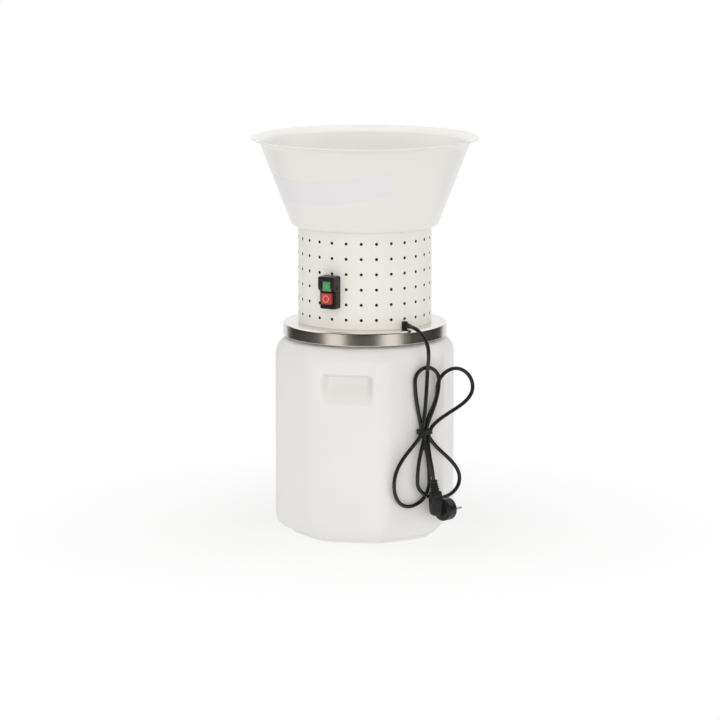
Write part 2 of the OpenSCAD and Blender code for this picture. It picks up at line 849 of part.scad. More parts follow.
module commutator() {
    color("darkgoldenrod") ring(commutator_r, shaft_mid_r + shaft_gap, commutator_z, commutator_z + commutator_h);
}

module cooling_fan() {
    color("black") difference() {
        union() {
            rod(fan_r, fan_z, fan_z + fan_t);
            rod(fan_hub_r, fan_z, fan_z + fan_h);
            around(fan_blades, 0, 0) translate([-fan_t / 2, -fan_r + fan_t, fan_z])
                cube([fan_t, fan_r - fan_hub_r, fan_h]);
        }
        rod(shaft_mid_r + shaft_gap, fan_z - through, fan_z + fan_h + through);
    }
}

module blade() {
    color("silver") difference() {
        union() {
            translate([0, 0, blade_z + blade_t / 2]) cube([2 * blade_r, blade_w, blade_t], center = true);
            rod(blade_hub_r, blade_z, blade_z + blade_t);
            for (side = [-1, 1]) {
                translate([side * (blade_r - beater_w / 2), 0, blade_z + beater_h / 2])
                    cube([beater_w, blade_w, beater_h], center = true);
            }
        }
        rod(blade_bore_r, blade_z - through, blade_z + blade_t + through);
    }
}

module blade_nut() {
    color("gray") {
        ring(washer_r, blade_bore_r, blade_z - washer_t, blade_z);
        nut(blade_nut_r, blade_bore_r, blade_z - washer_t - blade_nut_h, blade_z - washer_t);
    }
}

module sieve() {
    color("silver") difference() {
        union() {
            ring(sieve_r, sieve_r - sieve_t, sieve_low, lid_under);
            rod(sieve_r, sieve_low, sieve_low + sieve_t);
            ring(sieve_flange_r, sieve_r - sieve_t, lid_under - sieve_t, lid_under);
        }
        for (k = [0:sieve_columns - 1], row = [1:sieve_rows]) {
            rotate([0, 0, 360 * (k + 0.5) / sieve_columns])
                translate([0, -sieve_r, sieve_low + row * sieve_row_step])
                    rotate([90, 0, 0]) cylinder(d = sieve_hole, h = 6 * sieve_t, center = true, $fn = hole_fn);
        }
        around(3, stud_ring, 0) rod(stud_r + rod_gap, sieve_low, lid_under + through);
    }
}

module sieve_studs() {
    color("silver") around(3, stud_ring, 0) {
        rod(stud_r, lid_under - stud_drop, lid_top + stud_head_h / 2);
        rod(stud_head_r, lid_top, lid_top + stud_head_h);
    }
}

module wing_nuts() {
    high = lid_under - sieve_t;
    color("gray") around(3, stud_ring, 0) difference() {
        union() {
            rod(wing_r, high - wing_h, high);
            translate([0, 0, high - wing_h / 2]) cube([wing_span, wing_t, wing_h], center = true);
        }
        rod(stud_r + shaft_gap, high - wing_h - through, high + through);
    }
}

// block of the switch's outline from inside the drum's wall to a distance outwards
module switch_block(w, h, r, from, to) {
    translate([0, -drum_r - from, 0]) rotate([90, 0, 0]) linear_extrude(height = to - from) soft_rect(w, h, r);
}

module switch_housing() {
    hood_h = switch_h / 2 - hood_low;
    color("black") rotate([0, 0, switch_angle]) difference() {
        union() {
            difference() {
                union() {
                    translate([0, 0, switch_z])
                        switch_block(switch_w, switch_h, switch_round, -switch_round, switch_out);
                    translate([0, 0, switch_z + hood_low + hood_h / 2])
                        switch_block(switch_w, hood_h, switch_round, -switch_round, switch_hood);
                }
                rod(drum_r + clearance, lid_top, drum_top);
            }
            translate([0, 0, switch_z])
                switch_block(switch_tail_w, switch_tail_h, 1, -switch_tail_in, switch_round);
        }
        translate([0, 0, start_z]) switch_block(start_w + 2 * button_gap, start_w + 2 * button_gap, 1 + button_gap,
            switch_hood - start_sunk - start_deep - start_travel - button_rest, switch_hood + through);
        translate([0, 0, stop_z]) switch_block(stop_w + 2 * button_gap, stop_w + 2 * button_gap, 1 + button_gap,
            switch_out + stop_out - stop_deep - stop_travel - button_rest, switch_hood + through);
    }
}

module start_button() {
    color("seagreen") rotate([0, 0, switch_angle]) translate([0, 0, start_z])
        switch_block(start_w, start_w, 1, switch_hood - start_sunk - start_deep, switch_hood - start_sunk);
}

module stop_button() {
    color("crimson") rotate([0, 0, switch_angle]) translate([0, 0, stop_z])
        switch_block(stop_w, stop_w, 1, switch_out + stop_out - stop_deep, switch_out + stop_out);
}

module cord_gland() {
    wall = 2 * gland_out;
    color("black") {
        rotate([0, 0, gland_angle]) {
            difference() {
                translate([-gland_w / 2, -drum_r - gland_out, gland_z - gland_h / 2]) cube([gland_w, wall, gland_h]);
                rod(drum_r + clearance, lid_top - through, drum_top);
            }
            translate([0, -drum_in + gland_neck_in, gland_z]) rotate([90, 0, 0])
                cylinder(r = gland_neck_r, h = gland_neck_in + gland_out / 2, $fn = hole_fn);
            translate([0, -drum_in + clearance + collar_t, gland_z]) rotate([90, 0, 0])
                cylinder(r = collar_r, h = collar_t, $fn = hole_fn);
        }
        on_face() translate([sleeve_root[0], -sleeve_root[1], sleeve_root[2]])
            rotate([0, 90, lead_swing - 90]) cylinder(r1 = sleeve_root_r, r2 = sleeve_tip_r, h = sleeve_l);
    }
}

// place and heading of a strand in the tie
function strand_at(i) = [strands[i][0], strands[i][1], tie_z];
function strand_dir(i) = [sin(strands[i][2]), 0, cos(strands[i][2])];
// control points of loop i from strand i to strand i + 1
function loop_curves(i) =
    let (l = loops[i], s = strand_at(i), e = strand_at(i + 1), high = l[1][1] > 0 ? 1 : -1, w = high * up,
         a = [l[0][0], l[3][0], tie_z + l[0][1]], b = [l[1][0], l[3][1], tie_z + l[1][1]],
         c = [l[2][0], l[3][2], tie_z + l[2][1]], h = [sign(c[0] - a[0]), 0, 0],
         leave = high > 0 ? strands[i][4] : -strands[i][3],
         meet = high > 0 ? strands[i + 1][4] : -strands[i + 1][3])
    [[s, s + strand_dir(i) * leave, a - w * l[4][0], a],
     [a, a + w * quarter * abs(b[2] - a[2]), b - h * quarter * abs(b[0] - a[0]), b],
     [b, b + h * quarter * abs(c[0] - b[0]), c + w * quarter * abs(b[2] - c[2]), c],
     [c, c - w * l[4][1], e + strand_dir(i + 1) * meet, e]];
lead_from = cord_start + lead_dir * cord_d;
plug_from = plug_top - plug_dir * cord_d;
lead_curves =
    [[lead_from, lead_from + lead_dir * lead_reach, lead_bend[0] - lead_bend[1] * lead_bend[2], lead_bend[0]],
     [lead_bend[0], lead_bend[0] + lead_bend[1] * lead_bend[2], lead_hang[0] - lead_hang[1] * lead_hang[2],
      lead_hang[0]],
     [lead_hang[0], lead_hang[0] + lead_hang[1] * lead_hang[2], strand_at(0) + strand_dir(0) * strands[0][4],
      strand_at(0)]];
tail_curves = [[strand_at(4), strand_at(4) - strand_dir(4) * strands[4][3], plug_from - plug_dir * plug_reach,
                plug_from]];
// points of the cord: each curve in steps, more of them on the long legs of a loop
function curve_points(curves, steps) =
    [for (k = [0:len(curves) - 1], i = [1:steps[k]]) cubic(curves[k], i / steps[k])];
function cord_points(fine) = concat([cord_start, lead_from],
    curve_points(lead_curves, [6 * fine, 4 * fine, 6 * fine]),
    [for (n = [0:3]) each curve_points(loop_curves(n), [8 * fine, 4 * fine, 4 * fine, 8 * fine])],
    curve_points(tail_curves, [8 * fine]), [plug_top]);

// rings round the points, faces between them, one cap at each end
module cord() {
    p = cord_points(1);
    last = len(p) - 1;
    ring_points = [for (i = [0:last])
        let (t = unit(p[min(i + 1, last)] - p[max(i - 1, 0)]), b = unit(cross(t, [0, 1, 0])), n = cross(b, t))
        for (k = [0:cord_sides - 1]) let (a = 360 * k / cord_sides, q = p[i] + cord_d / 2 * (cos(a) * b + sin(a) * n))
            [q[0], -q[1], q[2]]];
    sides = [for (i = [0:last - 1], k = [0:cord_sides - 1])
        let (m = (k + 1) % cord_sides, s = i * cord_sides)
        each [[s + k, s + m, s + cord_sides + m], [s + k, s + cord_sides + m, s + cord_sides + k]]];
    caps = [for (k = [1:cord_sides - 2])
        each [[0, k + 1, k], [last * cord_sides, last * cord_sides + k, last * cord_sides + k + 1]]];
    color("black") on_face() polyhedron(ring_points, concat(sides, caps), convexity = 10);
    q = cord_points(3);
    s = run(q);
    gaps = [for (i = [0:len(q) - 1], j = [i + 8:1:len(q) - 1]) if (s[j] - s[i] > 5 * cord_d) norm(q[i] - q[j])];
    echo(cord_length = s[len(q) - 1], least_gap = min(gaps) - cord_d);
}

// length of the way up to each point
function run(q) = [for (i = 0, s = 0; i < len(q); i = i + 1,
    s = i < len(q) ? s + norm(q[i] - q[i - 1]) : s) s];

module cord_tie() {
    side = [strands[0][0] - cord_d / 2 - 2, strands[4][0] + cord_d / 2 + 2];
    band_w = side[1] - side[0];
    band_d = hank_step + cord_d - clearance;
    color("black") on_face() {
        translate([(side[0] + side[1]) / 2, -hank_mid, tie_z - tie_w / 2]) difference() {
            linear_extrude(height = tie_w) soft_rect(band_w + 2 * tie_t, band_d + 2 * tie_t, cord_d / 2 + tie_t);
            translate([0, 0, -through]) linear_extrude(height = tie_w + 2 * through)
                soft_rect(band_w, band_d, cord_d / 2);
        }
        translate([side[0] + cord_d, -hank_mid - band_d / 2 - 2 * tie_t, tie_z - 4 * tie_w])
            cube([2 * tie_t, 1.5 * tie_t, 4 * tie_w]);
    }
}

// frame of the plug's disc: z along the pins
module plug_frame() {
    on_face() translate([plug_mid[0], -plug_mid[1], plug_mid[2]]) rotate([0, 0, plug_turn]) rotate([0, 90, 0])
        children();
}

module plug_body() {
    tilt = atan2(plug_dir[0], -plug_dir[2]);
    color("black") difference() {
        union() {
            plug_frame() {
                rod(plug_r, -plug_l / 2 + plug_rim, plug_l / 2);
                translate([0, 0, -plug_l / 2]) cylinder(r1 = plug_r - plug_rim, r2 = plug_r, h = plug_rim);
            }
            on_face() translate([hump_mid[0], -hump_mid[1], hump_mid[2] - hump_h / 2])
                linear_extrude(height = hump_h) soft_rect(hump_w, hump_d, hump_round);
            on_face() translate([plug_top[0], -plug_top[1], plug_top[2]]) rotate([0, 180 - tilt, 0]) difference() {
                cylinder(r1 = boot_tip_r, r2 = boot_root_r, h = boot_l + 3);
                for (k = [1:boot_ribs]) {
                    ring(2 * boot_root_r, boot_tip_r - boot_groove / 2 + k / 2, k * boot_l / (boot_ribs + 1) - boot_groove,
                         k * boot_l / (boot_ribs + 1) + boot_groove);
                }
            }
        }
        plug_frame() at_pins() rod(pin_r + pin_gap, plug_l / 2 - pin_root, plug_l / 2 + through);
    }
}

// children at the two pins
module at_pins() {
    for (side = [-1, 1]) {
        translate([0, side * pin_pitch / 2, 0]) children();
    }
}

module plug_pins() {
    color("silver") plug_frame() at_pins() rod(pin_r, plug_l / 2 - pin_root, plug_l / 2 + pin_l);
}

bucket();
lid();
lid_seal();
drum();
seam_rivets();
hopper();
feed_ramp();
feed_chute();
feed_gate();
gate_pin();
tie_rods();
rod_nuts();
motor_housing();
stator_core();
field_coils();
bearing_bridge();
bridge_screws();
lower_bearing();
upper_bearing();
brush_holders();
brushes();
motor_screws();
motor_shaft();
armature_core();
armature_windings();
commutator();
cooling_fan();
blade();
blade_nut();
sieve();
sieve_studs();
wing_nuts();
switch_housing();
start_button();
stop_button();
cord_gland();
cord();
cord_tie();
plug_body();
plug_pins();
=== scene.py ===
# %% [markdown]
# # Electric grain mill
# A white hopper stands on a perforated motor drum, the drum on a steel lid, and the lid on a bucket. The
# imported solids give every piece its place, so this lesson only dresses them: each cell makes a few helpers,
# finishes or pieces, and prints what it made. Lengths of the mill are in millimetres and scaled once, and
# those of the lamps are in metres.

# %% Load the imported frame
import math

import bmesh
import bpy
import numpy as np
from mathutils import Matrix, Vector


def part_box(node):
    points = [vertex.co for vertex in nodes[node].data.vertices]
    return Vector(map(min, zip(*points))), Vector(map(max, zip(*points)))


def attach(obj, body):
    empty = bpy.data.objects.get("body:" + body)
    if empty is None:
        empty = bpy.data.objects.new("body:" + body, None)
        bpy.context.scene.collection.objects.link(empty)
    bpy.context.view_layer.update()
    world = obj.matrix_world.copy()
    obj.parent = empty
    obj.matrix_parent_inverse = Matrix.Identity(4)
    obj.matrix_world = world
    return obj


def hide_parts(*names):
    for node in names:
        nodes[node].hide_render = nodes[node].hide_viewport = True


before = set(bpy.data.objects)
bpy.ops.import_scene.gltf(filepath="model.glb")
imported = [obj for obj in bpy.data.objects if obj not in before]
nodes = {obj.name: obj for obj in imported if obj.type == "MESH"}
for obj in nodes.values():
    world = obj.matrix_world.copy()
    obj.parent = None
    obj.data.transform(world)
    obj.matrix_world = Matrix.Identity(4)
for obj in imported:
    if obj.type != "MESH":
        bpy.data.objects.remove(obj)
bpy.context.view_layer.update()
scene = bpy.context.scene
MM = 0.001

# %% [markdown]
# ## Camera
# The photograph was taken from about six metres with a long lens, looking down by about ten degrees. A long
# lens keeps the hopper's rim and the bucket's foot at nearly the same scale. The mill is turned by 12
# degrees, so the camera goes round the object by that angle and the object stays square to its frame.

# %% Camera
VIEW_TURN, VIEW_DROP, VIEW_AIM = 12.0, 9.705, 0.0746
VIEW_FAR, VIEW_HIGH = 6319.5, 1372.7
LENS, SENSOR, CLIP_END = 189.18, 36.0, 80.0


def add_object(name, data):
    """A new object in the scene that shows the data."""
    thing = bpy.data.objects.new(name, data)
    scene.collection.objects.link(thing)
    return thing


camera_data = bpy.data.cameras.new("photo_camera")
camera_data.sensor_width = SENSOR
camera_data.lens = LENS
camera_data.clip_end = CLIP_END
camera = add_object("photo_camera", camera_data)
turn = math.radians(VIEW_TURN)
camera.location = (VIEW_FAR * MM * math.sin(turn), -VIEW_FAR * MM * math.cos(turn), VIEW_HIGH * MM)
camera.rotation_euler = (math.radians(90 - VIEW_DROP), 0, math.radians(VIEW_TURN + VIEW_AIM))
scene.camera = camera
scene.view_settings.view_transform = "Standard"
print("camera at", [round(v, 3) for v in camera.location])

# %% [markdown]
# ## From arrays to a mesh
# Every new piece is a grid of points. Two neighbouring rows and two neighbouring columns make one face, so
# the faces of a whole grid come from index arithmetic. Patches are joined and welded where they meet. Then
# the faces of every closed shape are turned outwards. An open sheet has no outside, so it brings its own
# measure of how far a face looks outwards.

# %% Grid helpers
WELD = 2e-6


def patch(grid, close_rows=False, close_columns=False):
    """A grid with its faces: (i, j) joins (i, j+1), (i+1, j+1) and (i+1, j). A closed direction wraps."""
    grid = np.asarray(grid, float)
    rows, columns = grid.shape[:2]
    i = np.arange(rows if close_rows else rows - 1)[:, None]
    j = np.arange(columns if close_columns else columns - 1)[None, :]
    ni, nj = (i + 1) % rows, (j + 1) % columns
    quads = np.stack([i * columns + j, i * columns + nj, ni * columns + nj, ni * columns + j], axis=-1)
    return grid.reshape(-1, 3), quads.reshape(-1, 4)


def shell(grid):
    """A patch whose rows are closed rings."""
    return patch(grid, close_columns=True)


def grid_mesh(name, patches):
    """One mesh from patches in millimetres, the indices of the later ones moved along."""
    starts = np.cumsum([0] + [len(p) for p, _ in patches[:-1]])
    points = np.concatenate([p for p, _ in patches])
    faces = np.concatenate([f + s for (_, f), s in zip(patches, starts)])
    mesh = bpy.data.meshes.new(name)
    mesh.from_pydata((points * MM).tolist(), [], faces.tolist())
    return mesh


def make_piece(name, patches, body="mill_head", sharp=35.0, outward=None):
    """A piece from patches: welded, turned outwards, shaded smooth below a sharp angle in degrees."""
    mesh = grid_mesh(name, patches)
    work = bmesh.new()
    work.from_mesh(mesh)
    bmesh.ops.remove_doubles(work, verts=work.verts, dist=WELD)
    bmesh.ops.dissolve_degenerate(work, edges=work.edges, dist=WELD / 10)
    bmesh.ops.recalc_face_normals(work, faces=work.faces)
    if outward and sum(outward(face) for face in work.faces) < 0:
        bmesh.ops.reverse_faces(work, faces=work.faces)
    work.to_mesh(mesh)
    work.free()
    mesh.polygons.foreach_set("use_smooth", np.ones(len(mesh.polygons), bool))
    mesh.set_sharp_from_angle(angle=math.radians(sharp))
    piece = add_object(name, mesh)
    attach(piece, body)
    print(name, len(mesh.vertices), "points", len(mesh.polygons), "faces")
    return piece


print("grid of 3 by 3 points:", len(patch(np.zeros((3, 3, 3)))[1]), "faces")

# %% [markdown]
# Many pieces are turned, as on a lathe: a profile of radius and height is carried round the vertical axis. It
# could be done by a Screw modifier, but as a grid it can be welded to other patches.

# %% Turned shapes


def around_axis(angle):
    """Unit vector at an angle counted from -Y towards +X: (sin, -cos)."""
    a = np.radians(angle)
    return np.stack([np.sin(a), -np.cos(a)], axis=-1)


def with_height(flat, z):
    """Points of a plan, each with its height."""
    return np.concatenate([flat, np.broadcast_to(z, flat.shape[:-1])[..., None]], axis=-1)


def carried(profile, angles, full=True):
    """A profile of (radius, height) at each angle round the vertical axis: (r sin a, -r cos a, z)."""
    r, z = np.asarray(profile, float).T
    return patch(with_height(around_axis(angles)[:, None] * r[None, :, None], z[None]), close_rows=full)


def turned(profile, steps):
    """A profile carried all the way round in equal steps."""
    return carried(profile, 360.0 * np.arange(steps) / steps)


print("ring of 8 steps:", len(turned([(1, 0), (2, 0)], 8)[1]), "faces")

# %% [markdown]
# ## Mains lead
# The lead leaves the drum's foot, bends over the lid and hangs in a hank of four loops, tied at the waist.
# It is one tube of fixed thickness, so its route comes first: cubic curves joined end to end, the same ones
# that place its solid. The places are given along the bucket's front right face, outwards from the axis,
# and up. A curve object could carry the tube too, but a grid is made like every other piece.

# %% Route of the lead
FACE_TURN, CORD_D, TIE_Z = 45.0, 6.5, 191.0
HANK_IN, HANK_OUT = 150.3, 157.5
HANK_MID = (HANK_IN + HANK_OUT) / 2
LID_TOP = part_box("lid")[1][2] / MM
DRUM_R, GLAND_TURN, GLAND_OUT = 112.4, 47.0, 7.0
SLEEVE_LEN, SLEEVE_SHIFT = 12.0, (2, -1, 6.1)
LEAD_SWING, LEAD_REACH, PLUG_REACH = math.radians(-5.7), 21.3, 32.0
QUARTER, CURVE_STEPS = 0.5523, 22
UP = np.array([0.0, 0.0, 1.0])
# Strands at the tie: place along the face and outwards, lean in degrees, reach of the curve below and above.
strands = [(10.5, HANK_OUT, 20, 24, 20), (16.5, HANK_IN, -12, 24, 24), (18.4, HANK_OUT, 12, 24, 26),
           (26.0, HANK_IN, -14, 34, 26), (26.6, HANK_OUT, 24, 20, 32)]
# Loops: one side, far end and other side, along the face and up from the tie; their depths; reach of legs.
loops = [((-43, -85), (-8, -125), (31, -87), (HANK_OUT - 2, HANK_IN, HANK_IN), (44, 46)),
         ((2, 86.5), (23.5, 108), (45, 86.5), (HANK_IN, HANK_MID - 1, HANK_OUT), (34, 40)),
         ((2.5, -84), (50, -115), (90, -87), (HANK_OUT, HANK_OUT, HANK_MID), (40, 32)),
         ((46.5, 69), (80, 101), (114, 67), (HANK_IN, HANK_IN + 1.5, HANK_OUT - 1), (30, 34))]


def vec(*v):
    """A point or a direction from its numbers."""
    return np.array(v, float)


strand_at = [vec(s[0], s[1], TIE_Z) for s in strands]
strand_dir = [vec(math.sin(math.radians(s[2])), 0, math.cos(math.radians(s[2]))) for s in strands]


def loop_curves(k):
    """Four curves of loop k: along a leg, two quarter ellipses round its end, back along the other leg."""
    side, far, other, depth, legs = loops[k]
    s, e = strand_at[k], strand_at[k + 1]
    high, row = (1.0, 4) if far[1] > 0 else (-1.0, 3)
    a, b, c = (vec(p[0], d, TIE_Z + p[1]) for p, d in zip((side, far, other), depth))
    w, h = UP * high, vec(np.sign(c[0] - a[0]), 0, 0)
    leave, meet = high * strands[k][row], high * strands[k + 1][row]
    return [(s, s + strand_dir[k] * leave, a - w * legs[0], a),
            (a, a + w * QUARTER * abs(b[2] - a[2]), b - h * QUARTER * abs(b[0] - a[0]), b),
            (b, b + h * QUARTER * abs(c[0] - b[0]), c + w * QUARTER * abs(b[2] - c[2]), c),
            (c, c - w * legs[1], e + strand_dir[k + 1] * meet, e)]


gland_side, gland_far = math.radians(GLAND_TURN - FACE_TURN), DRUM_R + GLAND_OUT
sleeve_root = vec(gland_far * math.sin(gland_side), gland_far * math.cos(gland_side), LID_TOP) + SLEEVE_SHIFT
lead_dir = vec(math.sin(LEAD_SWING), math.cos(LEAD_SWING), 0)
cord_start = sleeve_root + lead_dir * SLEEVE_LEN
lead_from = cord_start + lead_dir * CORD_D
bend_at, bend_dir, bend_reach = vec(14.4, 170.75, LID_TOP - 28.6), vec(0.04, 0.11, -0.99), 19.65
hang_at, hang_dir, hang_reach = vec(20, 160, LID_TOP - 70.5), vec(-0.06, 0.02, -1), 18.3
plug_top, plug_dir = vec(25.0, 172, TIE_Z - 80), vec(0.15, 0, -0.989)
plug_from = plug_top - plug_dir * CORD_D
curves = [(lead_from, lead_from + lead_dir * LEAD_REACH, bend_at - bend_dir * bend_reach, bend_at),
          (bend_at, bend_at + bend_dir * bend_reach, hang_at - hang_dir * hang_reach, hang_at),
          (hang_at, hang_at + hang_dir * hang_reach,
           strand_at[0] + strand_dir[0] * strands[0][4], strand_at[0])]
curves += [curve for k in range(len(loops)) for curve in loop_curves(k)]
curves.append((strand_at[-1], strand_at[-1] - strand_dir[-1] * strands[-1][3],
               plug_from - plug_dir * PLUG_REACH, plug_from))


def on_face(p):
    """From (along the face, outwards, up) to the part's frame: a turn of 45 degrees about the axis."""
    p, f = np.asarray(p, float), math.radians(FACE_TURN)
    x = p[..., 0] * math.cos(f) + p[..., 1] * math.sin(f)
    y = p[..., 0] * math.sin(f) - p[..., 1] * math.cos(f)
    return np.stack([x, y, p[..., 2]], axis=-1)


t = np.linspace(0, 1, CURVE_STEPS + 1)[1:, None]
weights = ((1 - t) ** 3, 3 * (1 - t) ** 2 * t, 3 * (1 - t) * t * t, t ** 3)
bends = [sum(w * p for w, p in zip(weights, curve)) for curve in curves]
route = np.concatenate([[cord_start, lead_from], *bends, [plug_top]])

# %% [markdown]
# The tube itself is a circle carried along the route. At each point the circle lies across the direction of
# travel. Its two axes come from that direction and the face's outward direction, which never quite line up.

# %% Tube of the lead
TUBE_SIDES = 18


def tube(path, radius, sides):
    """A circle of the given radius at each point, across the path; the two ends draw in to a point."""
    ahead = np.gradient(path, axis=0)
    ahead /= np.linalg.norm(ahead, axis=1, keepdims=True)
    across = np.cross(ahead, (0.0, 1.0, 0.0))
    across /= np.linalg.norm(across, axis=1, keepdims=True)
    over = np.cross(across, ahead)
    a = np.linspace(0, 2 * np.pi, sides, endpoint=False)[None, :, None]
    radius = np.broadcast_to(radius, len(path))[:, None, None]
    grid = path[:, None] + radius * (np.cos(a) * across[:, None] + np.sin(a) * over[:, None])
    first, last = (np.broadcast_to(path[k], grid[:1].shape) for k in (0, -1))
    return np.concatenate([first, grid, last])


cord_grid = on_face(tube(route, CORD_D / 2, TUBE_SIDES))
cord = make_piece("mains_lead", [shell(cord_grid)])
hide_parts("cord")

# %% [markdown]
# ## Shader trees
# Every finish, and the surround too, is a tree of shader nodes. Nodes could be added and linked one line at a
# time. These helpers do it in a line for each node and a list of links.

# %% Shader helpers


def set_inputs(node, inputs):
    """Values for some of a node's sockets."""
    for socket, value in inputs.items():
        node.inputs[socket].default_value = value


def add_node(tree, kind, inputs=None, **settings):
    """A new shader node with its settings and socket values."""
    node = tree.nodes.new("ShaderNode" + kind)
    for name, value in settings.items():
        setattr(node, name, value)
    set_inputs(node, inputs or {})
    return node


def wire(tree, *pairs):
    """Links each output to its input."""
    for output, socket in pairs:
        tree.links.new(output, socket)


def blend(tree, factor, first, second, end):
    """Mixes two shaders by a factor and sends the result to the tree's end."""
    mix = add_node(tree, "MixShader")
    wire(tree, (factor, mix.inputs["Fac"]), (first.outputs[0], mix.inputs[1]),
         (second.outputs[0], mix.inputs[2]), (mix.outputs[0], tree.nodes[end].inputs["Surface"]))


finishes = {}


def new_material(name, inputs):
    """A material, kept under its name, with values for its shader; gives its node tree and its shader."""
    made = finishes[name] = bpy.data.materials.new(name)
    made.use_nodes = True
    shader = made.node_tree.nodes["Principled BSDF"]
    set_inputs(shader, inputs)
    return made.node_tree, shader


print("shader helpers ready")

# %% [markdown]
# ## Studio
# The floor is pale paper that glows a little and fades into a white surround, so the mill stands on white
# with only a faint shadow. A dark screen round the front, with a hood over it, keeps most of the steel dark,
# as black cards do in a real studio. Only reflections see it, and light that has left a matt surface sees it
# white, so the steel still throws light on its neighbours. It is open behind the mill, so the edges of every
# piece catch white.

# %% Floor, surround and screen
FLOOR_R, FLOOR_GLOW, FADE_FROM, FADE_TO = 1300, 0.72, 0.16, 0.8
WORLD_FILL, WORLD_TINT = 0.34, (1.0, 0.995, 0.985, 1)
SCREEN_HALF, SCREEN = 138.0, [(3600, -1400), (3600, 1500)]
HOOD_HALF, HOOD = 70.0, [(3600, 1500), (2900, 3000), (1800, 3900)]


def stage_mesh(name, patches, made):
    """A mesh that belongs to the studio and not to the mill."""
    thing = add_object(name, grid_mesh(name, patches))
    thing.data.materials.append(finishes[made])
    return thing


world = bpy.data.worlds.new("studio")
scene.world = world
world.use_nodes = True
sky = world.node_tree
set_inputs(sky.nodes["Background"], {"Color": WORLD_TINT, "Strength": WORLD_FILL})
white = add_node(sky, "Background", {"Color": (1, 1, 1, 1), "Strength": 1.0})
rays = add_node(sky, "LightPath")
seen = add_node(sky, "Math", operation="MAXIMUM")
wire(sky, (rays.outputs["Is Camera Ray"], seen.inputs[0]), (rays.outputs["Is Glossy Ray"], seen.inputs[1]))
blend(sky, seen.outputs[0], sky.nodes["Background"], white, "World Output")

matt = {"Roughness": 1.0, "Specular IOR Level": 0.0}
tree, shader = new_material("floor_paper", {**matt, "Base Color": (0.93, 0.93, 0.92, 1), "Roughness": 0.9})
distance = add_node(tree, "VectorMath", operation="LENGTH")
fade = add_node(tree, "MapRange", {"From Min": FADE_FROM, "From Max": FADE_TO, "To Min": FLOOR_GLOW},
                interpolation_type="SMOOTHSTEP")
wire(tree, (add_node(tree, "TexCoord").outputs["Object"], distance.inputs[0]),
     (distance.outputs["Value"], fade.inputs["Value"]))
blend(tree, fade.outputs["Result"], shader, add_node(tree, "Emission"), "Material Output")
floor = stage_mesh("floor", [turned([(0.5, 0), (200, 0), (600, 0), (FLOOR_R, 0)], 96)], "floor_paper")

tree, shader = new_material("dark_card", {**matt, "Base Color": (0.045, 0.035, 0.03, 1)})
matt_bounces = add_node(tree, "LightPath").outputs["Diffuse Depth"]
blend(tree, matt_bounces, shader, add_node(tree, "Emission"), "Material Output")
screen = stage_mesh("dark_screen", [
    carried(SCREEN, VIEW_TURN + np.linspace(-SCREEN_HALF, SCREEN_HALF, 96), False),
    carried(HOOD, VIEW_TURN + np.linspace(-HOOD_HALF, HOOD_HALF, 48), False)], "dark_card")
for ray in ("camera", "diffuse", "transmission", "volume_scatter", "shadow"):
    setattr(screen, "visible_" + ray, False)
print("stage", [thing.name for thing in (floor, screen)])

# %% [markdown]
# Two tall soft boxes give the lid its two bright bands. Five more lamps stand for the light of the room: from
# above, in front, at each side and over the hopper's mouth. Reflections don't see these, so they lift the
# white plastic and leave the steel alone.

# %% Lamps
AIM_Z, WHITE, WARM = 0.35, (1, 1, 1), (1, 0.955, 0.88)


def soft_box(name, side, far, height, size, watts, mirrored=False):
    """A rectangular lamp at an angle from the camera's side, aimed at the mill. Steel mirrors only some."""
    angle = VIEW_TURN + side
    lamp = bpy.data.lights.new(name, "AREA")
    lamp.shape = "RECTANGLE"
    lamp.size, lamp.size_y = size
    lamp.energy = watts
    lamp.color = WARM if mirrored else WHITE
    box = add_object(name, lamp)
    box.location = (*(around_axis(angle) * far), height)
    box.rotation_euler = (math.radians(90) - math.atan2(height - AIM_Z, far), 0, math.radians(angle))
    box.visible_camera = False
    box.visible_glossy = mirrored


soft_box("box_left", -42, 2.4, 0.5, (1.2, 2.4), 8.1, mirrored=True)
soft_box("box_right", 36, 2.4, 0.5, (1.2, 2.4), 8.1, mirrored=True)
soft_box("box_top", -8, 1.2, 2.4, (2.4, 2.4), 18)
soft_box("room_fill", 0, 3.4, 0.55, (3.0, 1.6), 31)
soft_box("rim_left", -105, 2.2, 0.6, (1.2, 2.4), 16)
soft_box("rim_right", 105, 2.2, 0.6, (1.2, 2.4), 20)
soft_box("hopper_fill", 0, 0.04, 1.6, (0.4, 0.4), 4)
print("lamps", len(bpy.data.lights))

# %% [markdown]
# ## Finishes
# White moulded plastic is never one flat colour: it has faint clouds, a fine skin and patches that shine a
# little more. Each finish here starts from the same three touches, read from the object's own coordinates so
# that they stay put on the piece: a colour that drifts, a gloss that drifts, and a small bump.

# %% Finish helpers
CLOUD_DETAIL, CLOUD_ENDS, GLOSS_CLOUDS = 2.0, (0.3, 0.7), 2.3
SKIN_DETAIL, SKIN_STRENGTH = 3.0, 0.25


def soft_noise(tree, scale, detail, squash):
    """Noise in the object's own coordinates, at a scale in 1/m, pressed together along some axes if asked."""
    source = add_node(tree, "TexCoord").outputs["Object"]
    noise = add_node(tree, "TexNoise", {"Scale": scale, "Detail": detail})
    if squash:
        stretch = add_node(tree, "Mapping", {"Scale": squash})
        wire(tree, (source, stretch.inputs["Vector"]))
        source = stretch.outputs[0]
    wire(tree, (source, noise.inputs["Vector"]))
    return noise.outputs["Fac"]


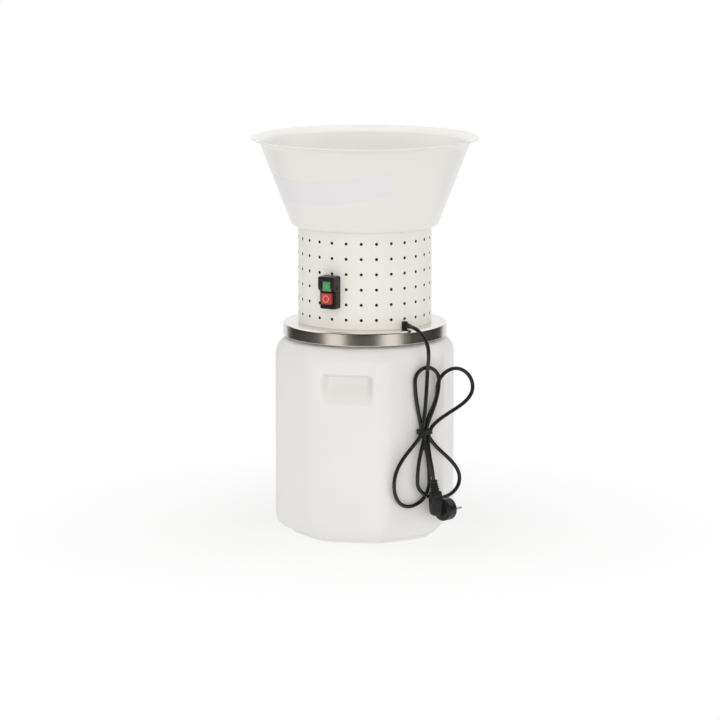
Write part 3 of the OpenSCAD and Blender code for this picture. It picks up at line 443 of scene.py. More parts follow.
def drift(tree, scale, low, high, target, squash=None):
    """Lets a socket of the shader wander between two colours by soft noise."""
    ramp = add_node(tree, "ValToRGB")
    for element, position, tone in zip(ramp.color_ramp.elements, CLOUD_ENDS, (low, high)):
        element.position = position
        element.color = (*tone, 1)
    wire(tree, (soft_noise(tree, scale, CLOUD_DETAIL, squash), ramp.inputs["Fac"]),
         (ramp.outputs["Color"], tree.nodes["Principled BSDF"].inputs[target]))


def finish(name, low, high, rough, clouds, grain, metal=0.0, specular=0.5, depth=4e-5, squash=None):
    """A finish with drifting colour and gloss and a fine bump: grain in 1/m, depth in metres."""
    tree, shader = new_material(name, {"Metallic": metal, "Specular IOR Level": specular})
    drift(tree, clouds, low, high, "Base Color", squash)
    drift(tree, clouds * GLOSS_CLOUDS, (rough[0],) * 3, (rough[1],) * 3, "Roughness", squash)
    bump = add_node(tree, "Bump", {"Strength": SKIN_STRENGTH, "Distance": depth})
    wire(tree, (soft_noise(tree, grain, SKIN_DETAIL, squash), bump.inputs["Height"]),
         (bump.outputs["Normal"], shader.inputs["Normal"]))


def dress(piece, made):
    """Gives a piece one finish, by its name, in place of what it had."""
    piece.data.materials.clear()
    piece.data.materials.append(finishes[made])


print("finish helpers ready")

# %% [markdown]
# The tones come from setting the render beside the photograph: plastic is a little warm, paint warmer.
# Some metals have their noise pressed together along an axis, which gives streaks and turns of wire.

# %% Finishes
finish("bucket_white", (0.748, 0.732, 0.716), (0.772, 0.756, 0.74), (0.36, 0.46), 7, 420)
finish("hopper_white", (0.752, 0.736, 0.712), (0.772, 0.756, 0.732), (0.30, 0.38), 6, 500, depth=2e-5)
finish("drum_white", (0.79, 0.77, 0.725), (0.81, 0.79, 0.745), (0.42, 0.5), 9, 900, depth=6e-5)
finish("case_black", (0.008, 0.008, 0.008), (0.014, 0.0135, 0.013), (0.24, 0.32), 40, 2600, specular=0.3,
       depth=3e-5)
finish("lead_black", (0.005, 0.0047, 0.0044), (0.009, 0.0086, 0.0082), (0.16, 0.22), 60, 2400, specular=0.46,
       depth=2e-5)
finish("start_green", (0.07, 0.31, 0.115), (0.09, 0.36, 0.14), (0.3, 0.4), 60, 2000, depth=2e-5)
finish("stop_red", (0.44, 0.042, 0.034), (0.50, 0.052, 0.044), (0.3, 0.4), 60, 2000, depth=2e-5)
finish("steel_grey", (0.52, 0.52, 0.53), (0.62, 0.62, 0.62), (0.24, 0.36), 60, 1500, metal=1.0)
finish("sheet_steel", (0.58, 0.575, 0.565), (0.66, 0.655, 0.645), (0.26, 0.38), 30, 900, metal=1.0,
       squash=(1, 14, 14))
finish("cast_grey", (0.40, 0.41, 0.42), (0.50, 0.51, 0.52), (0.45, 0.6), 50, 1300, metal=1.0, depth=2e-4)
finish("iron_dark", (0.12, 0.12, 0.125), (0.2, 0.2, 0.2), (0.45, 0.6), 60, 1600, metal=1.0, squash=(1, 1, 40))
finish("copper_red", (0.52, 0.24, 0.11), (0.66, 0.34, 0.17), (0.28, 0.4), 90, 1500, metal=1.0,
       squash=(1, 1, 30))
finish("carbon_dark", (0.03, 0.03, 0.03), (0.06, 0.06, 0.06), (0.6, 0.75), 90, 2500)
finish("seal_grey", (0.17, 0.17, 0.17), (0.24, 0.24, 0.235), (0.6, 0.75), 60, 1800)
node_finish = {
    "sheet_steel": "feed_ramp feed_chute sieve blade feed_gate",
    "steel_grey": "gate_pin tie_rods rod_nuts bridge_screws lower_bearing upper_bearing motor_screws"
                  " motor_shaft blade_nut sieve_studs wing_nuts plug_pins",
    "cast_grey": "motor_housing bearing_bridge", "iron_dark": "stator_core armature_core",
    "copper_red": "field_coils armature_windings commutator", "carbon_dark": "brushes",
    "case_black": "brush_holders cooling_fan", "seal_grey": "lid_seal"}
for made, names in node_finish.items():
    for name in names.split():
        dress(nodes[name], made)
dress(cord, "lead_black")
print(len(finishes), "materials,", sum(len(names.split()) for names in node_finish.values()), "nodes dressed")

# %% [markdown]
# ## Bucket
# The bucket is blow-moulded: eight upright faces with wide round corners, a rounded foot edge, a shoulder and
# a round neck. Each level is a rounded octagon, told by two distances from the axis: to the middle of a face
# and to the middle of a corner. If both are the same the octagon is a circle, so foot, walls, shoulder and
# neck are one family of rings, and with every ring at the same angles they make one grid. Its columns and
# levels stand closer together where the hand grips will bend them.

# %% Bucket levels
SIDES, EIGHTH = 8, 22.5
APOTHEM, CORNER_REACH = 145.0, 152.8
WALL = 3.0
FOOT_H, FOOT_FACE, FOOT_CORNER = 3.0, 117.5, 123.0
BASE_ROUND, BASE_CORNER_ROUND, BASE_BEGIN = 40.0, 28.0, 20.0
WALL_TOP, LEAST_ROUND = 311.0, 5.0
SHOULDER, SHOULDER_SWEEP = 26.0, 68.0
GRIP_REACH, GRIP_MARGIN = 48, 0.4
NECK_R = 127.0
NECK_IN = NECK_R - WALL
NECK_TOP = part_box("bucket")[1][2] / MM
STRETCH = 1 / math.cos(math.radians(EIGHTH))
SHOULDER_TOP = WALL_TOP + SHOULDER * math.sin(math.radians(SHOULDER_SWEEP))
CORNER_SHOULDER = SHOULDER + CORNER_REACH - APOTHEM
CORNER_BEND = SHOULDER_TOP - CORNER_SHOULDER * math.sin(math.radians(SHOULDER_SWEEP))

grip_run = np.degrees(np.arctan(np.linspace(-GRIP_REACH, GRIP_REACH, 49) / APOTHEM))
plain_run = np.linspace(-EIGHTH, EIGHTH, 25)
beside = plain_run[np.abs(plain_run) > grip_run[-1] + GRIP_MARGIN]
dense_run = np.sort(np.concatenate([beside, grip_run]))
runs = [(dense_run if k in (0, 4) else plain_run)[:-1] for k in range(SIDES)]
column_turn = np.concatenate([45.0 * k + run for k, run in enumerate(runs)])
off_face = (column_turn + EIGHTH) % 45.0 - EIGHTH


def levels(face, corner, height):
    """Rings of rounded octagons, cast along fixed angles: a / cos f on a face, and on a corner's arc of
    radius c about a point at distance D, D cos g + sqrt(c^2 - D^2 sin^2 g), with g from the corner."""
    face, corner, height = (np.asarray(v, float)[:, None] for v in (face, corner, height))
    c = np.clip((face * STRETCH - corner) / (STRETCH - 1), LEAST_ROUND, face)
    centre = (face - c) * STRETCH
    f, g = np.radians(off_face)[None], np.radians(EIGHTH - np.abs(off_face))[None]
    flat = np.tan(np.abs(f)) * face < (face - c) * math.tan(math.radians(EIGHTH))
    bend = centre * np.cos(g) + np.sqrt(np.clip(c * c - (centre * np.sin(g)) ** 2, 0, None))
    reach = np.where(flat, face / np.cos(f), bend)
    return with_height(around_axis(column_turn)[None] * reach[..., None], height)


def bucket_wall(inset):
    """Levels (face, corner, height) from the foot's round up to the shoulder, the wall moved in by inset."""
    b = np.radians(np.linspace(BASE_BEGIN if inset == 0 else 0, 90, 22))
    base_z = FOOT_H + inset + (BASE_ROUND - inset) * (1 - np.cos(b))
    base_face = APOTHEM - BASE_ROUND + (BASE_ROUND - inset) * np.sin(b)
    # Few levels below the grips, many across them and most at their roof.
    wall_z = np.concatenate([np.linspace(52, 228, 12), np.arange(233, 284, 1.5), np.arange(284, 292.1, 0.5),
                             np.linspace(293, WALL_TOP, 6)])
    s = np.radians(np.linspace(0, SHOULDER_SWEEP, 16)[1:])
    top_z = WALL_TOP + (SHOULDER - inset) * np.sin(s)
    top_face = APOTHEM - SHOULDER + (SHOULDER - inset) * np.cos(s)
    z = np.concatenate([base_z, wall_z, top_z])
    face = np.concatenate([base_face, np.full(wall_z.shape, APOTHEM - inset), top_face])
    below = np.clip(FOOT_H + BASE_CORNER_ROUND - z, 0, BASE_CORNER_ROUND - inset)
    above = np.clip(z - CORNER_BEND, 0, CORNER_SHOULDER - inset)
    corner = CORNER_REACH - BASE_CORNER_ROUND + np.sqrt((BASE_CORNER_ROUND - inset) ** 2 - below ** 2)
    over = CORNER_REACH - CORNER_SHOULDER + np.sqrt((CORNER_SHOULDER - inset) ** 2 - above ** 2)
    return np.stack([face, np.minimum(corner, over), z], axis=-1)


foot_edge = [(5, 0), (1.2, 0.4), (0.3, 1.3), (0, 2.4), (0, 4.6)]
foot = [(0, 0, 0), (50, 52, 0)] + [(FOOT_FACE - i, FOOT_CORNER - i, z) for i, z in foot_edge]
neck_round = [(NECK_R + 0.3, SHOULDER_TOP + 1.2), (NECK_R, SHOULDER_TOP + 2.6), (NECK_R, NECK_TOP - 1),
              (NECK_R - 0.4, NECK_TOP - 0.2), (NECK_R - 1, NECK_TOP), (NECK_IN + 1, NECK_TOP),
              (NECK_IN, NECK_TOP - 1), (NECK_IN, SHOULDER_TOP - 1)]
neck = [(NECK_R + 1.2, NECK_R + 2, SHOULDER_TOP + 0.3), *((r, r, z) for r, z in neck_round),
        (NECK_IN + 0.8, NECK_IN + 1, SHOULDER_TOP - WALL)]
inside = np.concatenate([bucket_wall(WALL)[::-1], [(60, 62, FOOT_H + WALL), (0, 0, FOOT_H + WALL)]])
outside = np.concatenate([foot, bucket_wall(0)])
bucket_grid = levels(*np.concatenate([outside, neck, inside]).T)
print("bucket levels", bucket_grid.shape)

# %% [markdown]
# A grip is a pocket with a sloping floor under a soft roof, since blown plastic can't follow a sharp inner
# corner. Its depth is a function of height, faded out near the two ends, and every point of the two grip
# faces moves in by it. The inner wall uses a slightly larger pocket, so the plastic keeps its thickness.

# %% Hand grips
GRIP_HALF, GRIP_SIDE = 46.5, 14.0
GRIP_LOW, GRIP_MID, GRIP_HIGH, GRIP_ROOF = 239.0, 273.0, 291.5, 8.0
GRIP_DEEP, GRIP_SOFT = 16.0, 0.45


def ease(x):
    """Smooth step: 3 x^2 - 2 x^3 between 0 and 1, flat outside."""
    x = np.clip(x, 0.0, 1.0)
    return x * x * (3 - 2 * x)


def grip_depth(x, z, grow):
    """Depth of the pocket: a ramp from its low edge to full depth, a steep roof, faded at both ends."""
    climb = np.clip((z - GRIP_LOW + grow) / (GRIP_MID - GRIP_LOW), 0, 1)
    ramp = GRIP_SOFT * ease(climb) + (1 - GRIP_SOFT) * climb
    roof = ease((GRIP_HIGH + grow - z) / GRIP_ROOF)
    ends = ease((GRIP_HALF + grow - np.abs(x)) / GRIP_SIDE)
    return GRIP_DEEP * ramp * roof * ends


rows_out = len(outside)
for rows, grow in ((slice(0, rows_out), 0.0), (slice(rows_out + len(neck), None), WALL)):
    part = bucket_grid[rows]
    depth = grip_depth(part[..., 0], part[..., 2], grow)
    front = np.abs(part[..., 1]) > APOTHEM - 2 * GRIP_DEEP
    part[..., 1] -= np.sign(part[..., 1]) * depth * front
bucket = make_piece("bucket_body", [shell(bucket_grid)], "bucket", sharp=50)
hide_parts("bucket")
dress(bucket, "bucket_white")

# %% [markdown]
# ## Hopper
# The hopper is turned: a cone with a rounded lower edge and a lip that flares out. One closed profile goes
# from the middle of the underside, up the outside, round the lip and down the inside to the floor. A low ring
# under it, the spigot, sits in the drum.

# %% Hopper
DRUM_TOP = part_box("drum")[1][2] / MM
RIM_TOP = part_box("hopper")[1][2] / MM
HOPPER_BASE, HOPPER_TOP, RIM_R = 123.0, 175.0, 192.0
HOPPER_T, HOPPER_FLOOR, HOPPER_EDGE = 2.5, 3.0, 8.0
LIP_ROUND, LIP_RISE, LIP_SHORT, TIP_SHORT = 14.0, 20.0, 1.2, 0.2
LIP_HIGH = 11.35
LIP_LOW = RIM_TOP - LIP_HIGH
SPIGOT_R, SPIGOT_T, SPIGOT_H, HOPPER_STEPS = DRUM_R - 1.5, 2, 10, 160


def arc(centre, radius, begin, end, count):
    """Points on a circle from one angle to another, in degrees."""
    a = np.radians(np.linspace(begin, end, count))
    return np.stack([centre[0] + radius * np.cos(a), centre[1] + radius * np.sin(a)], axis=-1)


slope = (HOPPER_TOP - HOPPER_BASE) / (LIP_LOW - DRUM_TOP)
lean, rise, half_t = math.atan(slope), math.radians(LIP_RISE), HOPPER_T / 2
lean_turn = math.degrees(lean)
floor_z = DRUM_TOP + HOPPER_FLOOR
edge_mid = (HOPPER_BASE + HOPPER_EDGE * slope - HOPPER_EDGE / math.cos(lean), DRUM_TOP + HOPPER_EDGE)
lip_mid = (HOPPER_TOP + LIP_ROUND * math.cos(lean), LIP_LOW - LIP_ROUND * math.sin(lean))
lip_run = RIM_R - LIP_SHORT - lip_mid[0] + LIP_ROUND * math.sin(rise)
tip_z = lip_mid[1] + LIP_ROUND * math.cos(rise) + lip_run * math.tan(rise)
tip = (RIM_R - half_t - TIP_SHORT - half_t * math.sin(rise), tip_z + half_t * math.cos(rise))
floor_in = HOPPER_BASE + slope * HOPPER_FLOOR - HOPPER_T / math.cos(lean)
hopper_profile = np.concatenate([
    [(0, DRUM_TOP), (60, DRUM_TOP), (100, DRUM_TOP)],
    arc(edge_mid, HOPPER_EDGE, -90, -lean_turn, 10),
    np.linspace((HOPPER_BASE + 6, DRUM_TOP + 6 / slope), (HOPPER_TOP - 3, LIP_LOW - 3 / slope), 12),
    arc(lip_mid, LIP_ROUND, 180 - lean_turn, 90 + LIP_RISE, 12),
    arc(tip, half_t, LIP_RISE - 90, LIP_RISE + 90, 9),
    arc(lip_mid, LIP_ROUND + HOPPER_T, 90 + LIP_RISE, 180 - lean_turn, 12),
    [(floor_in + 2, floor_z + 0.8 / slope), (floor_in - 3, floor_z), (60, floor_z), (0, floor_z)]])
spigot = [(SPIGOT_R, DRUM_TOP - SPIGOT_H), (SPIGOT_R - SPIGOT_T, DRUM_TOP - SPIGOT_H),
          (SPIGOT_R - SPIGOT_T, DRUM_TOP + 1), (SPIGOT_R, DRUM_TOP + 1), (SPIGOT_R, DRUM_TOP - SPIGOT_H)]
hopper = make_piece("hopper_shell", [turned(hopper_profile, HOPPER_STEPS), turned(spigot, HOPPER_STEPS)],
                    sharp=40)
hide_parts("hopper")
dress(hopper, "hopper_white")

# %% [markdown]
# A plain pale film is stuck on the front of the hopper. It is a thin patch that follows the cone and stands
# 0.3 mm proud of it. Its long edges curve as a straight strip does when it is rolled on a cone.

# %% Blank film on the hopper
FILM_LEFT, FILM_RIGHT, FILM_H, FILM_SPREAD = -62.0, 27.0, 41.0, 3.0
FILM_CURVE, FILM_OUT, FILM_IN = (617.7, 0.402, 0.00541), 0.3, -0.2


def thin_sheet(top, low):
    """Two layers of the same grid, joined by a band round their border."""
    border = [np.concatenate([g[:, 0], g[-1, 1:], g[-2::-1, -1], g[0, -2:0:-1]]) for g in (top, low)]
    return [patch(top), patch(low[::-1]), shell(np.stack(border))]


run = np.linspace(FILM_LEFT, FILM_RIGHT, 90)[:, None]
drop = 1 - np.linspace(0, 1, 14)[None, :]
film_turn = run + drop * FILM_SPREAD * (run - FILM_LEFT) / (FILM_RIGHT - FILM_LEFT)
film_z = FILM_CURVE[0] + FILM_CURVE[1] * run + FILM_CURVE[2] * run ** 2 - FILM_H * drop
film_r = HOPPER_BASE + slope * (film_z - DRUM_TOP)
film_layers = [with_height(around_axis(film_turn) * (film_r + out)[..., None], film_z)
               for out in (FILM_OUT, FILM_IN)]
film = make_piece("blank_film", thin_sheet(*film_layers))
finish("film_white", (0.735, 0.718, 0.735), (0.75, 0.732, 0.75), (0.36, 0.42), 9, 300, depth=2e-6)
dress(film, "film_white")

# %% [markdown]
# ## Drum
# The drum is rolled sheet with a regular field of holes. Around each hole one square cell of sheet runs from
# the hole's circle to the cell's edge, so all cells are the same small grid set down at different places.
# Where the switch covers the sheet the cells are plain. The sheet gets its thickness from Solidify, which
# also gives its inner side and the hole walls a second finish: near-black painted shade that darkens the
# holes.

# %% Drum
HOLE_R, PITCH, HOLE_ROWS, HOLE_COLUMNS = 2.5, 25.55, 6, 27
HOLE_TOP, FIRST_COLUMN, SHEET_T = 18.8, -173.4, 0.8
SWITCH_TURN, SWITCH_Z = -16.9, LID_TOP + 63.5
SWITCH_HALF, SWITCH_TALL = 15.0, 27.5
SPOKES, SPOKE_TURN = 32, 11.25
half = PITCH / 2
spoke = np.radians(np.arange(SPOKES) * SPOKE_TURN)
spoke_dir = np.stack([np.cos(spoke), np.sin(spoke)], axis=-1)
edge_at = np.tan(np.radians(np.arange(-45, 46, SPOKE_TURN)))
square = half * spoke_dir / np.abs(spoke_dir).max(axis=1, keepdims=True)
rings = np.array([0, 0.03, 0.12, 0.35, 1.0])[:, None, None]
holed = (1 - rings) * HOLE_R * spoke_dir[None] + rings * square[None]
plain = half * np.stack(np.meshgrid(edge_at, edge_at), axis=-1)


def on_drum(arc_mm, z, radius=DRUM_R):
    """Rolls the flat sheet: distance along the sheet becomes an angle, height stays."""
    return with_height(around_axis(np.degrees(arc_mm / DRUM_R)) * radius, z)


def thicken(piece, thickness):
    """Gives an open sheet its thickness, on the inner side."""
    sheet = piece.modifiers.new("sheet", "SOLIDIFY")
    sheet.thickness = thickness * MM
    sheet.offset = -1.0
    return sheet


sheet_patches = []
row_z = DRUM_TOP - HOLE_TOP - PITCH * np.arange(HOLE_ROWS)
column_at = math.radians(FIRST_COLUMN) * DRUM_R + PITCH * np.arange(HOLE_COLUMNS)
switch_at = math.radians(SWITCH_TURN) * DRUM_R
for x in column_at:
    for z in row_z:
        covered = abs(x - switch_at) < SWITCH_HALF and abs(z - SWITCH_Z) < SWITCH_TALL
        cell = plain if covered else holed
        sheet_patches.append(patch(on_drum(x + cell[..., 0], z + cell[..., 1]), close_columns=not covered))
whole_z = np.unique(np.round(np.concatenate([z + half * edge_at for z in row_z]), 6))
whole_x = np.unique(np.round(np.concatenate([x + half * edge_at for x in column_at]), 6))
seam_x = np.linspace(whole_x[-1], whole_x[0] + 2 * np.pi * DRUM_R, 7)
high_z, low_z = np.linspace(whole_z[-1], DRUM_TOP, 4), np.linspace(LID_TOP, whole_z[0], 4)
all_x = np.concatenate([whole_x, seam_x[1:-1]])
sheet_patches.append(patch(on_drum(*np.meshgrid(seam_x, whole_z))))
sheet_patches += [shell(on_drum(*np.meshgrid(all_x, band))) for band in (high_z, low_z)]
drum = make_piece("drum_sheet", sheet_patches,
                  outward=lambda face: face.normal.to_2d().dot(face.calc_center_median().to_2d()))
sheet = thicken(drum, SHEET_T)
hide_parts("drum")
sheet.material_offset = sheet.material_offset_rim = 1
dress(drum, "drum_white")
# Near-black painted shade on the sheet's inner side and hole walls, so the holes look dark.
finish("drum_inner_painted_shade", (0.03, 0.03, 0.03), (0.05, 0.05, 0.05), (0.6, 0.75), 40, 900)
drum.data.materials.append(finishes["drum_inner_painted_shade"])

# %% [markdown]
# The sheet's two ends lap at the back and are riveted. The lap is a thin strip that stands proud of the drum
# with its edges rounded down, and each rivet is a low dome turned about its own axis.

# %% Seam and rivets
SEAM_TURN, SEAM_W, SEAM_LIFT, SEAM_SINK = 176.0, 14.0, 0.62, 0.3
LAP_LOW, LAP_HIGH = LID_TOP + 0.2, DRUM_TOP - 4.5
RIVETS, RIVET_OUT = 5, 0.6
across = np.linspace(-1, 1, 15)
lift = SEAM_LIFT * np.clip((1 - np.abs(across)) * 9, 0, 1) ** 0.5
lap_x = math.radians(SEAM_TURN) * DRUM_R + across * SEAM_W / 2
lap_at = np.meshgrid(lap_x, np.linspace(LAP_LOW, LAP_HIGH, 24))
lap_layers = [on_drum(*lap_at, radius=r) for r in ((DRUM_R + lift)[None, :, None], DRUM_R - SEAM_SINK)]
lap = make_piece("drum_lap", thin_sheet(*lap_layers))
dress(lap, "drum_white")


def turned_at(profile, steps, at, out, up=UP):
    """A turned shape with its own axis along out and its other axes from up and out."""
    points, faces = turned(profile, steps)
    out = np.asarray(out, float) / np.linalg.norm(out)
    side = np.cross(up, out)
    side /= np.linalg.norm(side)
    return np.asarray(at, float) + points @ np.stack([side, np.cross(out, side), out]), faces


rivet_profile = np.concatenate([[(0, -3.0), (1.4, -3.0), (1.4, 0.0), (3.0, 0.0)],
                                arc((1.6, 0.3), 1.4, 0, 60, 6) * [1, 0.8], [(1.0, 1.35), (0, 1.4)]])
seam_out = np.append(around_axis(SEAM_TURN), 0)
rivet_z = LID_TOP + (np.arange(RIVETS) + 0.5) * (DRUM_TOP - LID_TOP) / RIVETS
rivet_patches = [turned_at(rivet_profile, 28, seam_out * (DRUM_R + RIVET_OUT) + UP * z, seam_out)
                 for z in rivet_z]
rivets = make_piece("seam_rivet_domes", rivet_patches)
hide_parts("seam_rivets")
dress(rivets, "steel_grey")

# %% [markdown]
# ## Lid
# The lid is pressed from stainless sheet and polished round and round, so its fine lines follow the rim. One
# profile gives the outer plate, the rounded edge and the skirt. Near the middle the plate has two openings:
# one for the shaft, and one beside it for the chute, which sits in its own cell between two rings. A bead
# lies inside the skirt's lower edge.

# %% Lid
LID_R, LID_T, LID_EDGE, BEAD = 138.3, 1.5, 5.0, 0.7
LID_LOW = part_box("lid")[0][2] / MM
CHUTE_Y, CHUTE_HOLE = 76.0, 20.3
SHAFT_HOLE, CELL_IN, CELL_OUT, CELL_HALF = 9.0, 50.0, 102.0, 24.0
skirt = np.concatenate([[(r, LID_TOP) for r in (CELL_OUT, 112, 122, 130)],
                        arc((LID_R - LID_EDGE, LID_TOP - LID_EDGE), LID_EDGE, 90, 0, 14),
                        np.linspace((LID_R, LID_TOP - LID_EDGE - 1), (LID_R, LID_LOW + BEAD + 0.3), 6),
                        arc((LID_R - BEAD, LID_LOW + BEAD), BEAD, 0, -80, 5)])
cell_turn = np.linspace(180 - CELL_HALF, 180 + CELL_HALF, 9)
rest_turn = np.linspace(180 + CELL_HALF, 540 - CELL_HALF, 121)
cell_r = np.linspace(CELL_IN, CELL_OUT, 9)
edge = np.concatenate([around_axis(cell_turn) * CELL_OUT, around_axis(cell_turn[-1]) * cell_r[-2::-1, None],
                       around_axis(cell_turn[-2::-1]) * CELL_IN,
                       around_axis(cell_turn[0]) * cell_r[1:-1, None]])
toward = edge - [0, CHUTE_Y]
hole_edge = [0, CHUTE_Y] + CHUTE_HOLE * toward / np.linalg.norm(toward, axis=1, keepdims=True)
mix = np.linspace(0, 1, 4)[:, None, None]
cell = with_height((1 - mix) * hole_edge[None] + mix * edge[None], LID_TOP)
ring_turn = np.concatenate([cell_turn, rest_turn[1:-1]])
lid = make_piece("lid_sheet", [carried(skirt, ring_turn),
                               carried([(r, LID_TOP) for r in cell_r], rest_turn, False), shell(cell),
                               carried([(r, LID_TOP) for r in (SHAFT_HOLE, 28, CELL_IN)], ring_turn)],
                 outward=lambda face: face.normal.z)
thicken(lid, LID_T)
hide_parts("lid")
bead_mid = (LID_R - LID_T - BEAD + 0.2, LID_LOW + BEAD)
bead = make_piece("lid_bead", [turned(arc(bead_mid, BEAD, 0, 360, 15), 180)])

tree, shader = new_material("lid_steel", {"Metallic": 1.0, "Anisotropic": 0.6})
drift(tree, 14, (0.83, 0.80, 0.76), (0.87, 0.84, 0.80), "Base Color")
rim_tangent = add_node(tree, "Tangent", direction_type="RADIAL", axis="Z")
place = add_node(tree, "TexCoord").outputs["Object"]
split = add_node(tree, "SeparateXYZ")
flatten = add_node(tree, "VectorMath", {1: (1, 1, 0)}, operation="MULTIPLY")
radius = add_node(tree, "VectorMath", operation="LENGTH")
lines = add_node(tree, "CombineXYZ")
streak = add_node(tree, "TexNoise", {"Scale": 900, "Detail": 4})
gloss = add_node(tree, "MapRange", {"To Min": 0.2, "To Max": 0.27})
scratch = add_node(tree, "Bump", {"Strength": 0.12, "Distance": 2e-5})
wire(tree, (rim_tangent.outputs[0], shader.inputs["Tangent"]), (place, split.inputs[0]),
     (place, flatten.inputs[0]), (flatten.outputs[0], radius.inputs[0]),
     (radius.outputs["Value"], lines.inputs["X"]), (split.outputs["Z"], lines.inputs["Y"]),
     (lines.outputs[0], streak.inputs["Vector"]),
     (streak.outputs["Fac"], gloss.inputs["Value"]), (gloss.outputs[0], shader.inputs["Roughness"]),
     (streak.outputs["Fac"], scratch.inputs["Height"]), (scratch.outputs[0], shader.inputs["Normal"]))
dress(lid, "lid_steel")
dress(bead, "lid_steel")

# %% [markdown]
# ## Switch
# The switch is a black case with two square buttons. A hood stands round the green one, so that nothing
# presses it by accident, and slopes away beside the red one. Such a case could be cut out of a cube with
# booleans, but a stack of rounded outlines keeps clean edges: ring after ring it climbs the outside, rolls
# over the front edge, turns into the well and ends on its floor.

# %% Stacked outlines
CORNERS = np.array([(0, 0), (1, 0), (1, 1), (0, 1)])
CORNER_BEGIN = np.array([180, 270, 0, 90])
WELL_ROUND, DISH_ROUND, SKIN_GAP = 1.3, 0.4, 0.05


def soft_ring(low, high, rounds, steps=6, between=0):
    """Outline of a rectangle with round corners: a quarter circle at each corner, about a point set in by its
    radius, and more points along the straight sides where a later step bends them."""
    low, high = np.asarray(low, float), np.asarray(high, float)
    r = np.broadcast_to(rounds, 4)[:, None]
    a = np.radians(CORNER_BEGIN[:, None] + np.linspace(0, 90, steps)[None])
    mid = low + CORNERS * (high - low) + (1 - 2 * CORNERS) * r
    ring = mid[:, None] + r[..., None] * np.stack([np.cos(a), np.sin(a)], axis=-1)
    f = np.linspace(0, 1, between + 2)[None, 1:-1, None]
    side = ring[:, -1:] * (1 - f) + np.roll(ring[:, :1], -1, axis=0) * f
    return np.concatenate([ring, side], axis=1).reshape(-1, 2)


def ring_stack(outlines, heights):
    """Outlines at successive heights as one grid, drawn in to the middle at both ends."""
    rings = np.stack([with_height(o, h) for o, h in zip(outlines, heights)])
    first, last = (np.broadcast_to(rings[k].mean(axis=0), rings[:1].shape) for k in (0, -1))
    return np.concatenate([first, rings, last])


def soft_block(low, high, rounds, back, front, edge, well=None, dish=0.0, between=0):
    """A rounded block: straight sides, a quarter circle over the front edge, then a well or a flat dish."""
    low, high = np.asarray(low, float), np.asarray(high, float)
    t = np.radians(np.linspace(0, 90, 6))[1:]
    insets = [0, 0, *(edge * (1 - np.cos(t)))]
    heights = [back, front - edge, *(front - edge + edge * np.sin(t))]
    outlines = [soft_ring(low + i, high - i, np.maximum(np.asarray(rounds) - i, 0.1), between=between)
                for i in insets]
    if well:
        mid, reach, floor_at = well
        outlines += [soft_ring(np.array(mid) - reach - g, np.array(mid) + reach + g, WELL_ROUND + g,
                               between=between)
                     for g in (0.5, 0.15, 0.0, 0.0)]
        heights += [front, front - 0.15, front - 0.5, floor_at]
    elif dish:
        reach = (high - low).min() / 2
        outlines += [soft_ring(low + f * reach, high - f * reach, DISH_ROUND, between=between)
                     for f in (0.35, 0.6, 0.85)]
        heights += [front - f * dish for f in (0.55, 0.9, 1.0)]
    return ring_stack(outlines, heights)


def stand_on_drum(grid, through=False, turn=SWITCH_TURN, height=SWITCH_Z):
    """From (across, up, outwards) at a place on the drum to the part's frame. A back that would sink into the
    sheet follows it, unless it goes through."""
    surface = np.sqrt(DRUM_R ** 2 - grid[..., 0] ** 2) - DRUM_R + SKIN_GAP
    out = grid[..., 2] if through else np.maximum(grid[..., 2], surface)
    flat = around_axis(turn + 90) * grid[..., :1] + around_axis(turn) * (DRUM_R + out)[..., None]
    return with_height(flat, height + grid[..., 1])


print("outline of a soft square", soft_ring((-1, -1), (1, 1), 0.3).shape)

# %% [markdown]
# The case has a low block round the red button and a high block round the green one. The high block's front
# is cut back below the green button's middle, so its two cheeks slope down to the low block. Behind the sheet
# a plain block holds the contacts.

# %% Switch case
CASE_BACK, CASE_OUT, HOOD_OUT, HOOD_LOW = -3, 15.0, 22.0, 1.75
START_UP, START_HALF, STOP_UP, STOP_HALF = 11.0, 8.25, -9.4, 9.2
START_FLOOR, STOP_FLOOR, BUTTON_GAP = 7.5, 3.5, 0.3
CASE_EDGE, HOOD_EDGE, CHEEK_LOW, CHEEK_RUN = 1.2, 1.3, 0.5, 8.5
low_block = soft_block((-SWITCH_HALF, -SWITCH_TALL), (SWITCH_HALF, HOOD_LOW + 0.4), (3, 3, 0.3, 0.3),
                       CASE_BACK, CASE_OUT, CASE_EDGE, ((0, STOP_UP), STOP_HALF + BUTTON_GAP, STOP_FLOOR))
hood = soft_block((-SWITCH_HALF, HOOD_LOW), (SWITCH_HALF, SWITCH_TALL), (0.6, 0.6, 3, 3), CASE_BACK,
                  HOOD_OUT, HOOD_EDGE, ((0, START_UP), START_HALF + BUTTON_GAP, START_FLOOR), between=24)
cheek = CASE_OUT + (HOOD_OUT - CASE_OUT) * ease((hood[..., 1] - CHEEK_LOW) / CHEEK_RUN)
hood[..., 2] = np.minimum(hood[..., 2], cheek)
contacts = soft_block((-11, -22.5), (11, 22.5), 1.0, -14, 1.0, 0.4)
case_patches = [shell(stand_on_drum(low_block)), shell(stand_on_drum(hood)),
                shell(stand_on_drum(contacts, True))]
case = make_piece("switch_case", case_patches, sharp=40)
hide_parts("switch_housing")
dress(case, "case_black")

# %% [markdown]
# The buttons are blocks with a shallow dish for the finger. The start button carries the usual bar and the
# stop button the usual ring, both in a paler tone of the button's own colour.

# %% Buttons
HOOP_R, HOOP_OUT, HOOP_T, HOOP_STEPS = 5.2, 21.6, 0.85, 48


def button_piece(name, half, up, back, front, edge, made):
    """A square button with a dished front, riding on its own body."""
    block = soft_block((-half, up - half), (half, up + half), 1.4, back, front, edge, dish=0.5)
    piece = make_piece(name + "_cap", [shell(stand_on_drum(block, True))], name)
    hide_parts(name)
    dress(piece, made)


